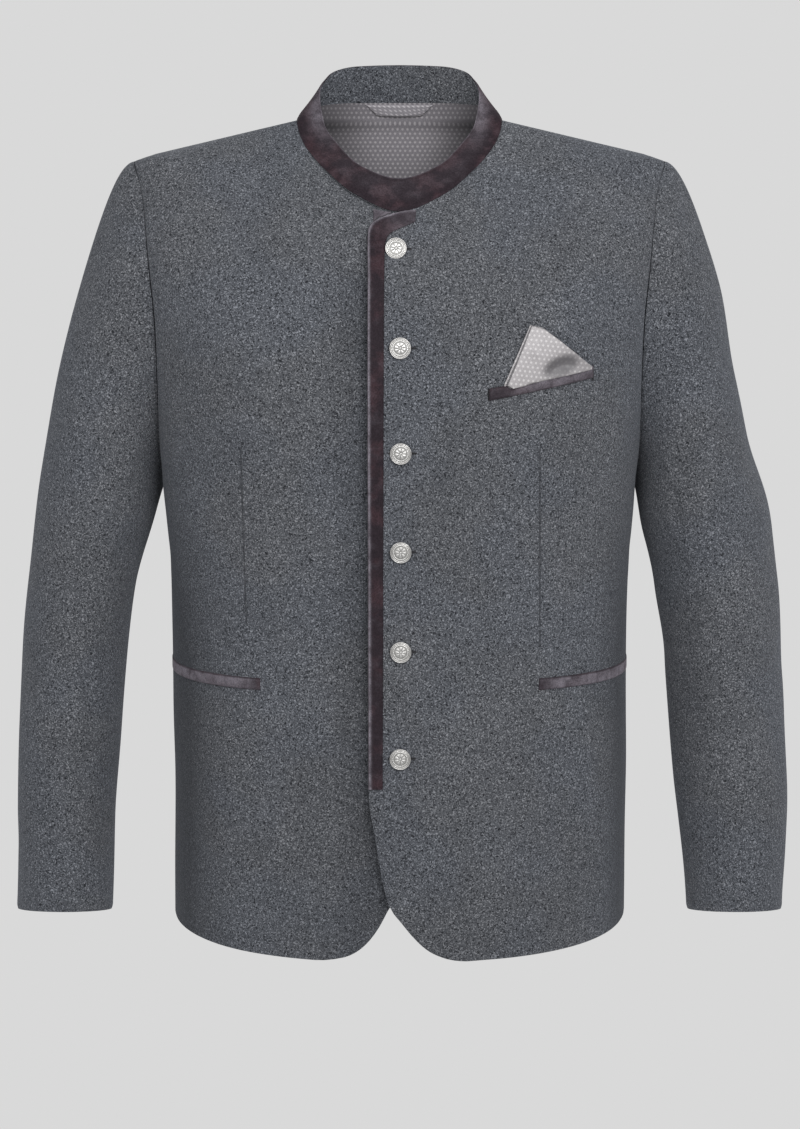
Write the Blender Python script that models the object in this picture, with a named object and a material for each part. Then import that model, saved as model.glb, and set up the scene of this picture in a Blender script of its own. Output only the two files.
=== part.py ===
"""Stand-collar loden jacket, filled out as worn, with nobody in it.

Metres, +Z up. The jacket faces -Y and its wearer's left is +X. The origin is the middle of the
neck, level with the two points where the shoulder seams meet the collar.

Every panel lies on one body form: a stack of level sections, each a rounded rectangle whose
half-width, depths and squareness come from the BODY table. A sleeve leaves the armhole on a
smooth curve for each angle and then runs through the level rings of the SLEEVE table.
"""

import math

import bmesh
import bpy
import numpy as np

# Cloth
LODEN = 0.0020
VELVET = 0.0012
LINING = 0.0010
GAP = 0.0003
SLEEVE_GAP = 0.0010

# Levels
HEM = -0.6815
ARMPIT = -0.3025
SHOULDER_POINT = -0.034
NECK_FRONT = -0.074

# Widths and depths
NECK_HALF_WIDTH = 0.0856
SHOULDER_HALF_WIDTH = 0.222
SHOULDER_TOP = 0.0
SIDE_SEAM_Y = 0.020
ARMHOLE_FRONT = 0.064
ARMHOLE_BACK = 0.062
ARMHOLE_EASE = 0.30
SHOULDER_DROP = 0.0036
OVERLAP = 0.0258
HEM_DIP = 0.0098
HEM_DIP_FROM = -0.45

# The left front lies over the right one and comes back to the form by OVER_TO.
OVER_LIFT = LODEN + GAP
OVER_FROM = 0.040
OVER_TO = 0.075

# Sleeves: seams by angle, counted from the top of the armhole towards the front
SLEEVE_STEP = 20
FRONT_SEAM = 120
BACK_SEAM = 260

# Trims
TRIM_BOTTOM = -0.5408
WELT_HEIGHT = 0.0098
HIP_WELT_TOP = -0.456
HIP_WELT_FROM = 0.1155
HIP_WELT_LAST = 0.7
LINING_DEPTH = -0.19

SQUARE_PUFF = 0.003
LOOP_HALF_WIDTH = 0.030
LOOP_TAPER = 0.0085
LOOP_TOP = 0.011
LOOP_DROP = 0.0085
LOOP_SAG = 0.0008
LOOP_STANDS_OFF = 0.0012

BUTTON_SEGMENTS = 20


def columns(names, *rows):
    """A table as one array for each named column."""
    return dict(zip(names.split(), np.array(rows, float).T))


# Level sections of the body, hem to neck: half-width, depths, and squareness of each half
BODY = columns(
    "z half_width front back front_square back_square",
    (-0.691, 0.1970, 0.1430, 0.1280, 2.50, 2.50),
    (-0.597, 0.1964, 0.1400, 0.1240, 2.50, 2.50),
    (-0.515, 0.1960, 0.1350, 0.1150, 2.45, 2.45),
    (-0.453, 0.1959, 0.1300, 0.1085, 2.40, 2.40),
    (-0.393, 0.1965, 0.1275, 0.1060, 2.40, 2.40),
    (-0.332, 0.1998, 0.1305, 0.1110, 2.40, 2.40),
    (-0.263, 0.2059, 0.1360, 0.1210, 2.40, 2.40),
    (-0.213, 0.2106, 0.1360, 0.1265, 2.40, 2.40),
    (-0.164, 0.2153, 0.1275, 0.1260, 2.50, 2.40),
    (-0.125, 0.2191, 0.1105, 0.1195, 2.80, 2.40),
    (-0.092, 0.2225, 0.0875, 0.1110, 3.10, 2.40),
    (-0.074, 0.2237, 0.0725, 0.1040, 3.25, 2.40),
    (-0.056, 0.2240, 0.0570, 0.0945, 3.35, 2.40),
    (-0.038, 0.2240, 0.0410, 0.0840, 3.30, 2.40),
    (-0.019, 0.2240, 0.0240, 0.0700, 2.90, 2.30),
    (-0.010, 0.2240, 0.0155, 0.0600, 2.50, 2.20),
    (0.000, 0.2240, 0.0080, 0.0500, 2.00, 2.00),
    (0.020, 0.2240, 0.0080, 0.0500, 2.00, 2.00),
)

# Height of the neckline, by angle from the middle of the back
NECK = columns("angle z", (0, 0.014), (30, 0.014), (60, 0.0105), (90, 0.0), (115, -0.021),
               (135, -0.041), (155, -0.0605), (180, -0.074))

COLLAR_CLEAR = 0.0008
COLLAR_RISE_BACK = 0.0008
COLLAR_RISE_FRONT = 0.0026
COLLAR_RISE_FROM = (30, 60)
COLLAR_ROWS = (0.0, 0.35, 0.7, 1.0)

# Top edge of the stand collar, by the same angle
COLLAR_TOP = columns(
    "angle x y z",
    (0, 0.0, 0.040, 0.0462),
    (30, 0.0367, 0.037, 0.0450),
    (60, 0.0603, 0.029, 0.0381),
    (90, 0.0676, 0.014, 0.0229),
    (115, 0.0629, -0.007, -0.0028),
    (135, 0.0509, -0.027, -0.0196),
    (155, 0.0320, -0.043, -0.0364),
    (180, 0.0, -0.053, -0.0465),
)

# Front edge of each front: how far it reaches across the middle (minus) or stays back (plus)
EDGE_OVER = columns(
    "z x",
    (-0.6815, 0.0560),
    (-0.6805, 0.0475),
    (-0.6780, 0.0375),
    (-0.6715, 0.0240),
    (-0.6606, 0.0120),
    (-0.6492, 0.0025),
    (-0.6360, -0.0074),
    (-0.6196, -0.0128),
    (-0.5997, -0.0167),
    (-0.5768, -0.0206),
    (-0.5488, -0.0252),
    (-0.5158, -0.0258),
    (-0.0975, -0.0252),
    (-0.0925, -0.0245),
    (-0.0874, -0.0224),
    (-0.0836, -0.0176),
    (-0.0796, -0.0070),
    (-0.0779, 0.0),
    (-0.0740, 0.0),
)
EDGE_UNDER = columns(
    "z x",
    (-0.6815, 0.0700),
    (-0.6806, 0.0580),
    (-0.6778, 0.0430),
    (-0.6693, 0.0295),
    (-0.6549, 0.0179),
    (-0.6384, 0.0087),
    (-0.6196, -0.0040),
    (-0.5987, -0.0126),
    (-0.5571, -0.0222),
    (-0.5158, -0.0258),
    (-0.0962, -0.0252),
    (-0.0899, -0.0245),
    (-0.0836, -0.0224),
    (-0.0795, -0.0176),
    (-0.0755, -0.0070),
    (-0.0740, 0.0),
)

# Level rings of the sleeve: centre, half-widths, rise to the outside and drop to the back
SLEEVE = columns(
    "z x y wide deep rise drop",
    (-0.681, 0.2919, -0.026, 0.0414, 0.0515, 0.01, 0.22),
    (-0.597, 0.2905, -0.012, 0.0423, 0.0540, 0.04, 0.17),
    (-0.525, 0.2863, -0.004, 0.0439, 0.0565, 0.07, 0.12),
    (-0.453, 0.2815, 0.001, 0.0450, 0.0600, 0.10, 0.05),
    (-0.393, 0.2742, 0.004, 0.0455, 0.0640, 0.14, 0.00),
    (-0.327, 0.2611, 0.006, 0.0501, 0.0690, 0.16, 0.00),
)
SLEEVE_ROWS = (0, 0.08, 0.18, 0.32, 0.5, 0.7, 0.88, 1, 1.19, 1.37, 1.57, 1.78, 2)

# Direction in which the cloth leaves the armhole, by angle from the top towards the front
LEAVE = columns("angle out forward down", (0, 0.88, 0.0, 0.48), (90, 0.97, 0.12, 0.2), (180, 0.9, 0.0, 0.4),
                (270, 0.97, -0.12, 0.2), (360, 0.88, 0.0, 0.48))
LEAVE_PULL = 0.30

# Rows of the body panels outside the armhole
SKIRT_ROWS = (HEM, -0.619, -0.5485, -0.495, HIP_WELT_TOP - WELT_HEIGHT, HIP_WELT_TOP, -0.413, -0.373, -0.338)


# Where the panels have a row on the neckline and the collar a column, by the NECK table's angle
COLLAR_STEPS = (0, 15, 30, 50, 70, 90, 105, 120, 135, 150, 165, 180)
FRONT_NECK_STEPS = (92, 105, 120, 135, 150, 165)
BACK_NECK_STEPS = (30, 50, 70, 90, 105, 120)

# Columns of a front: lines at these distances from the middle, then even steps round the side
FRONT_LINES = (-0.0124, 0.0137, 0.0395, 0.0725, 0.1155, 0.1576)
LINES_LOW = 0.04
LINES_HIGH = 0.86
SIDE_COLUMNS = 4
BACK_COLUMNS = 9

# The binding: its outer edge round the neck corner, with its inner edge beside it
BINDING = columns(
    "x z inner_x inner_z",
    (0.0135, -0.0752, 0.0129, -0.0835),
    (0.0068, -0.0757, 0.0061, -0.0862),
    (0.0, -0.0768, -0.0013, -0.0891),
    (-0.0070, -0.0786, -0.0058, -0.0913),
    (-0.0176, -0.0826, -0.0095, -0.0945),
    (-0.0224, -0.0864, -0.0109, -0.0980),
    (-0.0245, -0.0918, -0.0117, -0.1024),
    (-0.0248, -0.0990, -0.0122, -0.1088),
)

# The sliver of the right front's own binding that shows above the left front's corner
UNDER_BINDING = columns(
    "x top bottom",
    (0.0070, -0.0742, -0.0752),
    (0.0115, -0.0738, -0.0766),
    (0.0176, -0.0727, -0.0788),
    (0.0215, -0.0718, -0.0815),
)

# Breast welt ends and the pocket square's fan: along the welt, and height above it
WELT_INNER = (0.0725, -0.2232)
WELT_OUTER = (0.1576, -0.2074)
SQUARE = columns(
    "along bottom_x bottom_z top_x top_z",
    (0, 0.0851, -0.2103, 0.0855, -0.2098),
    (1, 0.0992, -0.2078, 0.1049, -0.1634),
    (2, 0.1149, -0.2048, 0.1149, -0.1658),
    (3, 0.1355, -0.2012, 0.1343, -0.1810),
    (4, 0.1551, -0.1973, 0.1553, -0.1969),
)

BUTTONS = columns("x z", (-0.0029, -0.1042), (0.0005, -0.181), (0.001, -0.2652), (0.001, -0.3469),
                  (0.001, -0.4303), (0.0005, -0.5168))
BUTTON_PROFILE = ((0.0030, 0.0004), (0.0030, 0.0020), (0.0080, 0.0020), (0.00875, 0.0026),
                  (0.00875, 0.0034), (0.0078, 0.0040), (0.0068, 0.0037), (0.0040, 0.0043), (0.0, 0.0045))

FINISH = {
    "loden": ((0.098, 0.104, 0.115, 1), 0.95, 0.0),
    "velvet": ((0.040, 0.030, 0.035, 1), 0.9, 0.0),
    "lining": ((0.155, 0.148, 0.162, 1), 0.6, 0.0),
    "square": ((0.43, 0.41, 0.42, 1), 0.5, 0.0),
    "metal": ((0.62, 0.62, 0.60, 1), 0.35, 1.0),
}


def smooth(xs, ys, at, flat_ends=False):
    """A curve through the rows of a table that never overshoots them."""
    if xs[0] > xs[-1]:
        xs, ys = xs[::-1], ys[::-1]
    step = np.diff(xs)
    slope = np.diff(ys) / step
    before, after = slope[:-1], slope[1:]
    both = before + after
    tangent = np.zeros_like(ys)
    tangent[1:-1] = np.where(before * after > 0, 2 * before * after / np.where(both == 0, 1, both), 0)
    if not flat_ends:
        tangent[0], tangent[-1] = slope[0], slope[-1]
    at = np.clip(at, xs[0], xs[-1])
    k = np.clip(np.searchsorted(xs, at, side="right") - 1, 0, len(step) - 1)
    t = (at - xs[k]) / step[k]
    rise = ys[k + 1] - ys[k]
    bend = step[k] * ((1 - t) * tangent[k] - t * tangent[k + 1]) + (2 * t - 1) * rise
    return ys[k] + t * rise + t * (1 - t) * bend


def ease(low, high, at):
    t = np.clip((at - low) / (high - low), 0, 1)
    return t * t * (3 - 2 * t)


def unit(v):
    return v / np.maximum(np.linalg.norm(v, axis=-1, keepdims=True), 1e-12)


# --- Neckline and body form -----------------------------------------------------------------


def section(z):
    """Half-width, depths and squarenesses (front, back) of the level section at z."""
    half_width, *rest = (
        smooth(BODY["z"], BODY[name], z) for name in ("half_width", "front", "back", "front_square", "back_square")
    )
    reach = (SHOULDER_TOP - z) / (SHOULDER_TOP - SHOULDER_POINT)
    shoulder = NECK_HALF_WIDTH + (SHOULDER_HALF_WIDTH - NECK_HALF_WIDTH) * np.maximum(reach, 0)
    return np.minimum(half_width, shoulder), *rest


def half_of_section(z, in_front):
    """Half-width, depth and squareness of one half of the section."""
    half_width, front, back, front_square, back_square = section(z)
    return half_width, np.where(in_front, front, back), np.where(in_front, front_square, back_square)


def neckline(angle):
    """The neckline at an angle in degrees from the middle of the back."""
    turn = np.radians(angle)
    x = NECK_HALF_WIDTH * np.sin(turn)
    z = smooth(NECK["angle"], NECK["z"], np.abs(angle), flat_ends=True)
    in_front = np.cos(turn) < 0
    half_width, depth, square = half_of_section(z, in_front)
    y = depth * np.maximum(1 - (np.abs(x) / half_width) ** square, 0) ** (1 / square)
    return np.stack([x, np.where(in_front, -y, y), z], -1)


def neckline_x(z):
    """How far from the middle the neckline is at a level."""
    angle = np.linspace(180, 30, 400)
    height = smooth(NECK["angle"], NECK["z"], angle, flat_ends=True)
    return NECK_HALF_WIDTH * np.sin(np.radians(np.interp(z, height, angle)))


def angle_at_x(x, z, in_front=True):
    half_width, _, square = half_of_section(z, in_front)
    ratio = np.clip(np.abs(x) / half_width, 0, 1)
    return np.arccos(np.sign(x) * ratio ** (square / 2))


def angle_at_y(y, z):
    """The section's angle at a depth: plus in front of the side, minus behind it."""
    _, depth, square = half_of_section(z, np.asarray(y) < 0)
    ratio = np.clip(np.abs(y) / depth, 0, 1)
    return -np.sign(y) * np.arcsin(ratio ** (square / 2))


def form(angle, z):
    """Points and outward normals of the body form. 90 degrees is the middle of the front."""
    c, s = np.cos(angle), np.sin(angle)
    half_width, depth, square = half_of_section(z, s > 0)
    x = half_width * np.sign(c) * np.abs(c) ** (2 / square)
    y = -depth * np.sign(s) * np.abs(s) ** (2 / square)

    def level(at_z):
        wide, deep, n = half_of_section(at_z, s > 0)
        return (np.abs(x) / wide) ** n + (np.abs(y) / deep) ** n

    step = 0.0005
    normal = np.stack(
        [
            square * np.sign(x) * np.abs(x) ** (square - 1) / half_width**square,
            square * np.sign(y) * np.abs(y) ** (square - 1) / depth**square,
            (level(z + step) - level(z - step)) / (2 * step),
        ],
        -1,
    )
    dip = HEM_DIP * np.maximum(s, 0) ** 1.5 * ease(HEM_DIP_FROM, HEM, z)
    dip = dip + SHOULDER_DROP * ease(0.198, 0.2235, np.abs(x)) * ease(-0.12, -0.045, z)
    return np.stack([x, y, z - dip], -1), unit(normal)


def over_lift(x):
    return OVER_LIFT * (1 - ease(OVER_FROM, OVER_TO, x))


# --- Solids ---------------------------------------------------------------------------------


def material(name):
    colour, rough, metal = FINISH[name]
    made = bpy.data.materials.new(name)
    made.use_nodes = True
    shader = made.node_tree.nodes["Principled BSDF"]
    shader.inputs["Base Color"].default_value = colour
    shader.inputs["Roughness"].default_value = rough
    shader.inputs["Metallic"].default_value = metal
    return made


def solid(name, verts, faces, finish):
    """One closed mesh object, with its faces turned outward and round parts shaded smooth."""
    mesh = bpy.data.meshes.new(name)
    mesh.from_pydata(verts, [], faces)
    build = bmesh.new()
    build.from_mesh(mesh)
    bmesh.ops.recalc_face_normals(build, faces=build.faces)
    build.to_mesh(mesh)
    build.free()
    mesh.shade_smooth()
    mesh.set_sharp_from_angle(angle=math.radians(40))
    mesh.materials.append(material(finish))
    obj = bpy.data.objects.new(name, mesh)
    bpy.context.scene.collection.objects.link(obj)


def wall(name, outer, inner, finish, flipped=0):
    """A cloth wall between two grids of points, closed round its edge.

    Both grids are split along the same diagonals, the other way in the first flipped columns.
    """
    rows, cols = outer.shape[:2]
    count = rows * cols
    at = np.arange(count).reshape(rows, cols)
    faces = []
    for r in range(rows - 1):
        for c in range(cols - 1):
            a, b, d, e = at[r, c], at[r, c + 1], at[r + 1, c + 1], at[r + 1, c]
            halves = ([a, b, e], [b, d, e]) if c < flipped else ([a, b, d], [a, d, e])
            for half in halves:
                faces.append(half)
                faces.append([count + i for i in reversed(half)])
    rim = [*at[0, :-1], *at[:-1, -1], *at[-1, :0:-1], *at[:0:-1, 0]]
    for a, b in zip(rim, rim[1:] + rim[:1]):
        faces.append([b, a, count + a, count + b])
    verts = np.concatenate([outer.reshape(-1, 3), inner.reshape(-1, 3)])
    solid(name, verts.tolist(), [[int(i) for i in face] for face in faces], finish)


def mirrored(points, side):
    return points * np.array([side, 1, 1])


# --- Body panels ----------------------------------------------------------------------------


def armhole(angle):
    """Depth and level of the armhole, by angle in degrees from its top towards the front."""
    turn = np.radians(angle)
    z = (SHOULDER_POINT + ARMPIT) / 2 + (SHOULDER_POINT - ARMPIT) / 2 * np.cos(turn)
    width = np.where(np.sin(turn) > 0, ARMHOLE_FRONT, ARMHOLE_BACK)
    head = 1 - ARMHOLE_EASE * np.maximum(np.cos(turn), 0) ** 4
    return SIDE_SEAM_Y * (1 - np.cos(turn)) / 2 - width * head * np.sin(turn), z


def outer_y(z, front):
    """Depth at which a panel ends: side seam, then armhole, then shoulder seam."""
    sign = -1 if front else 1
    if z >= SHOULDER_POINT - 1e-6:
        return sign * GAP / 2
    if z <= ARMPIT + 1e-6:
        return SIDE_SEAM_Y + sign * GAP / 2
    middle, reach = (SHOULDER_POINT + ARMPIT) / 2, (SHOULDER_POINT - ARMPIT) / 2
    turn = math.degrees(math.acos((z - middle) / reach))
    return float(armhole(np.array(turn if front else 360 - turn))[0])


def armhole_rows():
    return [float(armhole(np.array(a))[1]) for a in range(SLEEVE_STEP, 181, SLEEVE_STEP)]


def neck_rows(steps):
    return [float(neckline(np.array(float(step)))[2]) for step in steps]


def row(start, end, z, cols):
    """Angles of evenly spaced points of the form along one level."""
    fine = np.linspace(start, end, 160)
    points, _ = form(fine, np.full(160, z))
    length = np.concatenate([[0], np.cumsum(np.linalg.norm(np.diff(points, axis=0), axis=1))])
    return np.interp(np.linspace(0, length[-1], cols), length, fine)


def front_row(z, edge):
    """Angles of a front panel's points at one level, from its front edge to its seam."""
    edge_x = neckline_x(z) if z > NECK_FRONT else smooth(edge["z"], edge["x"], z)
    end = angle_at_y(outer_y(z, True), z)
    span = form(end, z)[0][0] - edge_x
    count = np.arange(1, len(FRONT_LINES) + 1)
    low = edge_x + span * LINES_LOW * count
    high = edge_x + span * (LINES_HIGH - LINES_LOW * (len(FRONT_LINES) - count))
    lines = np.clip(FRONT_LINES, low, high)
    angles = angle_at_x(np.concatenate([[edge_x], lines]), z)
    return np.concatenate([angles, row(angles[-1], end, z, SIDE_COLUMNS + 1)[1:]])


class Panel:
    """The grid of points and normals that a body panel is made from, on the +X side."""

    def __init__(self, levels, angles_at, lift):
        self.levels = np.array(sorted(levels))
        made = [form(angles_at(z), z) for z in self.levels]
        self.normals = np.array([normals for _, normals in made])
        self.points = np.array([points for points, _ in made])
        self.points = self.points + lift(self.points[..., :1]) * self.normals

    def wall(self, name, side, finish):
        inner = self.points - LODEN * self.normals
        wall(name, mirrored(self.points, side), mirrored(inner, side), finish)

    def at(self, x, z):
        """Points and normals of the faceted panel at distances from the middle and levels."""
        x, z = np.broadcast_arrays(np.asarray(x, float), np.asarray(z, float))
        below = np.clip(np.searchsorted(self.levels, z, side="right") - 1, 0, len(self.levels) - 2)
        share = (z - self.levels[below]) / (self.levels[below + 1] - self.levels[below])
        found = np.zeros((*x.shape, 6))
        for place in np.ndindex(x.shape):
            for r, part in ((below[place], 1 - share[place]), (below[place] + 1, share[place])):
                data = np.concatenate([self.points[r], self.normals[r]], axis=1)
                found[place] += part * np.array([np.interp(x[place], self.points[r, :, 0], d) for d in data.T])
        found[..., 0] = x
        return found[..., :3], unit(found[..., 3:])


def front_panel(edge, lift):
    levels = {*SKIRT_ROWS, *armhole_rows(), SHOULDER_POINT, *neck_rows(FRONT_NECK_STEPS), *edge["z"].tolist()}
    return Panel(levels, lambda z: front_row(z, edge), lift)


def back_panel():
    levels = {*SKIRT_ROWS, *armhole_rows(), SHOULDER_POINT, *neck_rows(BACK_NECK_STEPS)}

    def angles_at(z):
        end = angle_at_y(outer_y(z, False), z) if z < 0 else -angle_at_x(neckline_x(z), z, False)
        return row(-angle_at_x(GAP / 2, z, False), end, z, BACK_COLUMNS)

    return Panel(levels, angles_at, no_lift)


def back_lining(back):
    """The lining inside the upper back: the points of both back panels, moved in."""
    rows = back.levels > LINING_DEPTH
    points, normals = back.points[rows], back.normals[rows]
    both = [np.concatenate([mirrored(a[:, :0:-1], -1), a[:, 1:]], axis=1) for a in (points, normals)]
    outer = both[0] - (LODEN + GAP) * both[1]
    wall("back_lining", outer, outer - LINING * both[1], "lining", flipped=BACK_COLUMNS - 2)


# --- Sleeves --------------------------------------------------------------------------------


def sleeve_ring(angle, z):
    turn = np.radians(angle)
    x, y, wide, deep, rise, drop = (
        smooth(SLEEVE["z"], SLEEVE[name], z) for name in ("x", "y", "wide", "deep", "rise", "drop")
    )
    out, fore = wide * np.cos(turn), deep * np.sin(turn)
    return np.stack([x + out, y - fore, z + rise * out + drop * fore], -1)


def sleeve_point(angle, along):
    """A sleeve point: along runs 0 to 1 from the armhole to the first ring, then to 2 at the cuff."""
    top, cuff = SLEEVE["z"][-1], SLEEVE["z"][0]
    y, z = armhole(angle)
    start, _ = form(angle_at_y(y, z), z)
    leave = unit(np.stack([
        smooth(LEAVE["angle"], LEAVE["out"], angle % 360),
        -smooth(LEAVE["angle"], LEAVE["forward"], angle % 360),
        -smooth(LEAVE["angle"], LEAVE["down"], angle % 360),
    ], -1))
    start = start + SLEEVE_GAP * leave
    end = sleeve_ring(angle, np.full_like(angle, top))
    arrive = unit(sleeve_ring(angle, np.full_like(angle, top - 0.004)) - end)
    distance = np.linalg.norm(end - start, axis=-1, keepdims=True)
    t = np.clip(along, 0, 1)[..., None]
    crown = (
        (2 * t**3 - 3 * t**2 + 1) * start
        + (t**3 - 2 * t**2 + t) * leave * distance * LEAVE_PULL
        + (3 * t**2 - 2 * t**3) * end
        + (t**3 - t**2) * arrive * distance
    )
    tube = sleeve_ring(angle, top + (cuff - top) * np.clip(along - 1, 0, 1))
    return np.where(along[..., None] < 1, crown, tube)


def sleeve_piece(name, side, first, last):
    steps = np.arange(first, last + 1, SLEEVE_STEP, dtype=float)
    half_gap = math.degrees(GAP / 2 / SLEEVE["wide"][0])
    steps[0] += half_gap
    steps[-1] -= half_gap
    angle, along = np.meshgrid(steps, np.array(SLEEVE_ROWS))
    small = 0.002
    points = sleeve_point(angle, along)
    round_way = sleeve_point(angle + 1, along) - sleeve_point(angle - 1, along)
    down_way = sleeve_point(angle, np.minimum(along + small, 2)) - sleeve_point(angle, np.maximum(along - small, 0))
    normals = unit(np.cross(round_way, down_way))
    wall(name, mirrored(points, side), mirrored(points - LODEN * normals, side), "loden")


# --- Collar ---------------------------------------------------------------------------------


def collar_edges():
    """The collar's lower and top edge at each of its columns, from the middle front round one side.

    The lower edge stands just outside and above the panels' edge. Both edges are shared out alike along their length.
    """
    fine = np.linspace(0, 180, 361)
    low = neckline(fine)
    top = np.stack([smooth(COLLAR_TOP["angle"], COLLAR_TOP[k], fine, k != "x") for k in "xyz"], -1)

    def shares(curve):
        length = np.concatenate([[0], np.cumsum(np.linalg.norm(np.diff(curve, axis=0), axis=1))])
        return length / length[-1]

    steps = np.array(COLLAR_STEPS, float)
    share = np.interp(steps, fine, shares(low))
    top = np.stack([np.interp(share, shares(top), top[:, k]) for k in range(3)], -1)
    low = neckline(steps)
    angle = angle_at_x(low[:, 0], low[:, 2], steps > 90)
    _, normals = form(np.where(steps > 90, angle, -angle), low[:, 2] - GAP)
    clear = COLLAR_CLEAR + OVER_LIFT * ease(110, 150, steps)
    low = low + clear[:, None] * normals
    rise = COLLAR_RISE_BACK + (COLLAR_RISE_FRONT - COLLAR_RISE_BACK) * ease(*COLLAR_RISE_FROM, steps)
    return low + rise[:, None] * unit(top - low), top


def collar_layer(name, inset, thickness, finish):
    low, top = (np.concatenate([mirrored(edge[:0:-1], -1), edge]) for edge in collar_edges())
    low[0, 0], low[-1, 0], top[0, 0], top[-1, 0] = -GAP, GAP, -GAP, GAP
    height = np.array(COLLAR_ROWS)[:, None, None]
    points = low + height * (top - low)
    along = np.gradient(points, axis=1)
    along[:, [0, -1]] = np.array([-1, 0, 0])
    normals = unit(np.cross(top - low, along))
    wall(name, points - inset * normals, points - (inset + thickness) * normals, finish, flipped=len(COLLAR_STEPS) - 1)


# --- Pieces that lie on the panels ------------------------------------------------------------


def no_lift(x):
    return np.zeros_like(x)


def applied(name, place, side, clear, thickness, finish):
    """A piece on a panel: a grid of its points and normals, moved out by clear."""
    points, normals = place
    low = points + clear * normals
    high = low + np.asarray(thickness)[..., None] * normals
    wall(name, mirrored(high, side), mirrored(low, side), finish)


def binding(panel):
    """Velvet binding round the left front's neck corner and down its front edge."""
    edge_x = -OVERLAP + GAP / 2
    below = [z for z in panel.levels[::-1] if TRIM_BOTTOM < z < BINDING["z"][-1] - GAP] + [TRIM_BOTTOM]
    near = np.array([*zip(BINDING["x"], BINDING["z"]), *((edge_x, z) for z in below)])
    far = np.array([*zip(BINDING["inner_x"], BINDING["inner_z"]), *((FRONT_LINES[0], z) for z in below)])
    across = np.linspace(0, 1, 3)[None, :, None]
    grid = near[:, None] * (1 - across) + far[:, None] * across
    place = panel.at(grid[..., 0], grid[..., 1])
    applied("placket_trim", place, 1, 2 * GAP, np.full(grid.shape[:2], VELVET), "velvet")


def neck_binding(panel):
    """Velvet on the right front's neck edge, where the left front's cut corner leaves it bare."""
    x = np.stack([UNDER_BINDING["x"]] * 2)
    z = np.stack([UNDER_BINDING["bottom"], UNDER_BINDING["top"]])
    applied("neck_binding", panel.at(x, z), -1, GAP, np.full(x.shape, VELVET), "velvet")


def hip_welt(name, panel, side):
    rows = [int(np.argmin(abs(panel.levels - z))) for z in (HIP_WELT_TOP - WELT_HEIGHT, HIP_WELT_TOP)]
    first = 1 + FRONT_LINES.index(HIP_WELT_FROM)
    place = [grid[rows, first:].copy() for grid in (panel.points, panel.normals)]
    for grid in place:
        grid[:, -1] = grid[:, -2] + (grid[:, -1] - grid[:, -2]) * HIP_WELT_LAST
    applied(name, place, side, GAP, np.full(place[0].shape[:2], VELVET), "velvet")


def breast_welt(panel):
    x = np.array([line for line in FRONT_LINES if line >= WELT_INNER[0]])[None, :]
    along = (x - WELT_INNER[0]) / (WELT_OUTER[0] - WELT_INNER[0])
    z = WELT_INNER[1] + (WELT_OUTER[1] - WELT_INNER[1]) * along + np.array([[0], [WELT_HEIGHT]])
    applied("breast_welt", panel.at(x, z), 1, 2 * GAP, np.full(z.shape, VELVET + LODEN), "velvet")


def pocket_square(panel):
    up = np.linspace(0, 1, 4)[:, None]
    x = SQUARE["bottom_x"] * (1 - up) + SQUARE["top_x"] * up
    z = SQUARE["bottom_z"] * (1 - up) + SQUARE["top_z"] * up + 2 * GAP
    points, normals = panel.at(x, z)
    off = SQUARE_PUFF * np.sin(np.pi * up / 2) * np.sin(np.pi * SQUARE["along"] / 4)
    place = points + off[..., None] * normals, normals
    applied("pocket_square", place, 1, 5 * GAP, np.full(x.shape, LODEN), "square")


def hanger_loop(back):
    """A flat strip of lining cloth below the collar seam, a little off the lining."""
    across = np.linspace(-1, 1, 9)[None, :]
    down = np.array([0.0, 1.0])[:, None]
    x = across * (LOOP_HALF_WIDTH - LOOP_TAPER * down)
    z = LOOP_TOP - LOOP_DROP * down - LOOP_SAG * (1 - across**2) * down
    points, normals = back.at(np.abs(x), z)
    turn = np.stack([np.where(x < 0, -1, 1), np.ones_like(x), np.ones_like(x)], -1)
    off = (LODEN + LINING + 3 * GAP + LOOP_STANDS_OFF * down)[..., None]
    outer = (points - off * normals) * turn
    wall("hanger_loop", outer, outer - LINING * normals * turn, "lining")


def button(name, panel, x, z):
    """A turned button on its shank, square to the cloth."""
    base, normal = (a[0] for a in panel.at([x], [z]))
    side = unit(np.cross(np.array([0.0, 0.0, 1.0]), normal))
    up = np.cross(normal, side)
    verts, faces = [], []
    for radius, height in BUTTON_PROFILE[:-1]:
        for k in range(BUTTON_SEGMENTS):
            turn = 2 * math.pi * k / BUTTON_SEGMENTS
            verts.append(base + height * normal + radius * (math.cos(turn) * side + math.sin(turn) * up))
    rings = len(BUTTON_PROFILE) - 1
    for r in range(rings - 1):
        for k in range(BUTTON_SEGMENTS):
            n = (k + 1) % BUTTON_SEGMENTS
            a, b = r * BUTTON_SEGMENTS, (r + 1) * BUTTON_SEGMENTS
            faces.append([a + k, a + n, b + n, b + k])
    faces.append(list(range(BUTTON_SEGMENTS)))
    last = (rings - 1) * BUTTON_SEGMENTS
    verts.append(base + BUTTON_PROFILE[-1][1] * normal)
    faces += [[last + k, last + (k + 1) % BUTTON_SEGMENTS, len(verts) - 1] for k in range(BUTTON_SEGMENTS)]
    solid(name, [v.tolist() for v in verts], faces, "metal")


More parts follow.
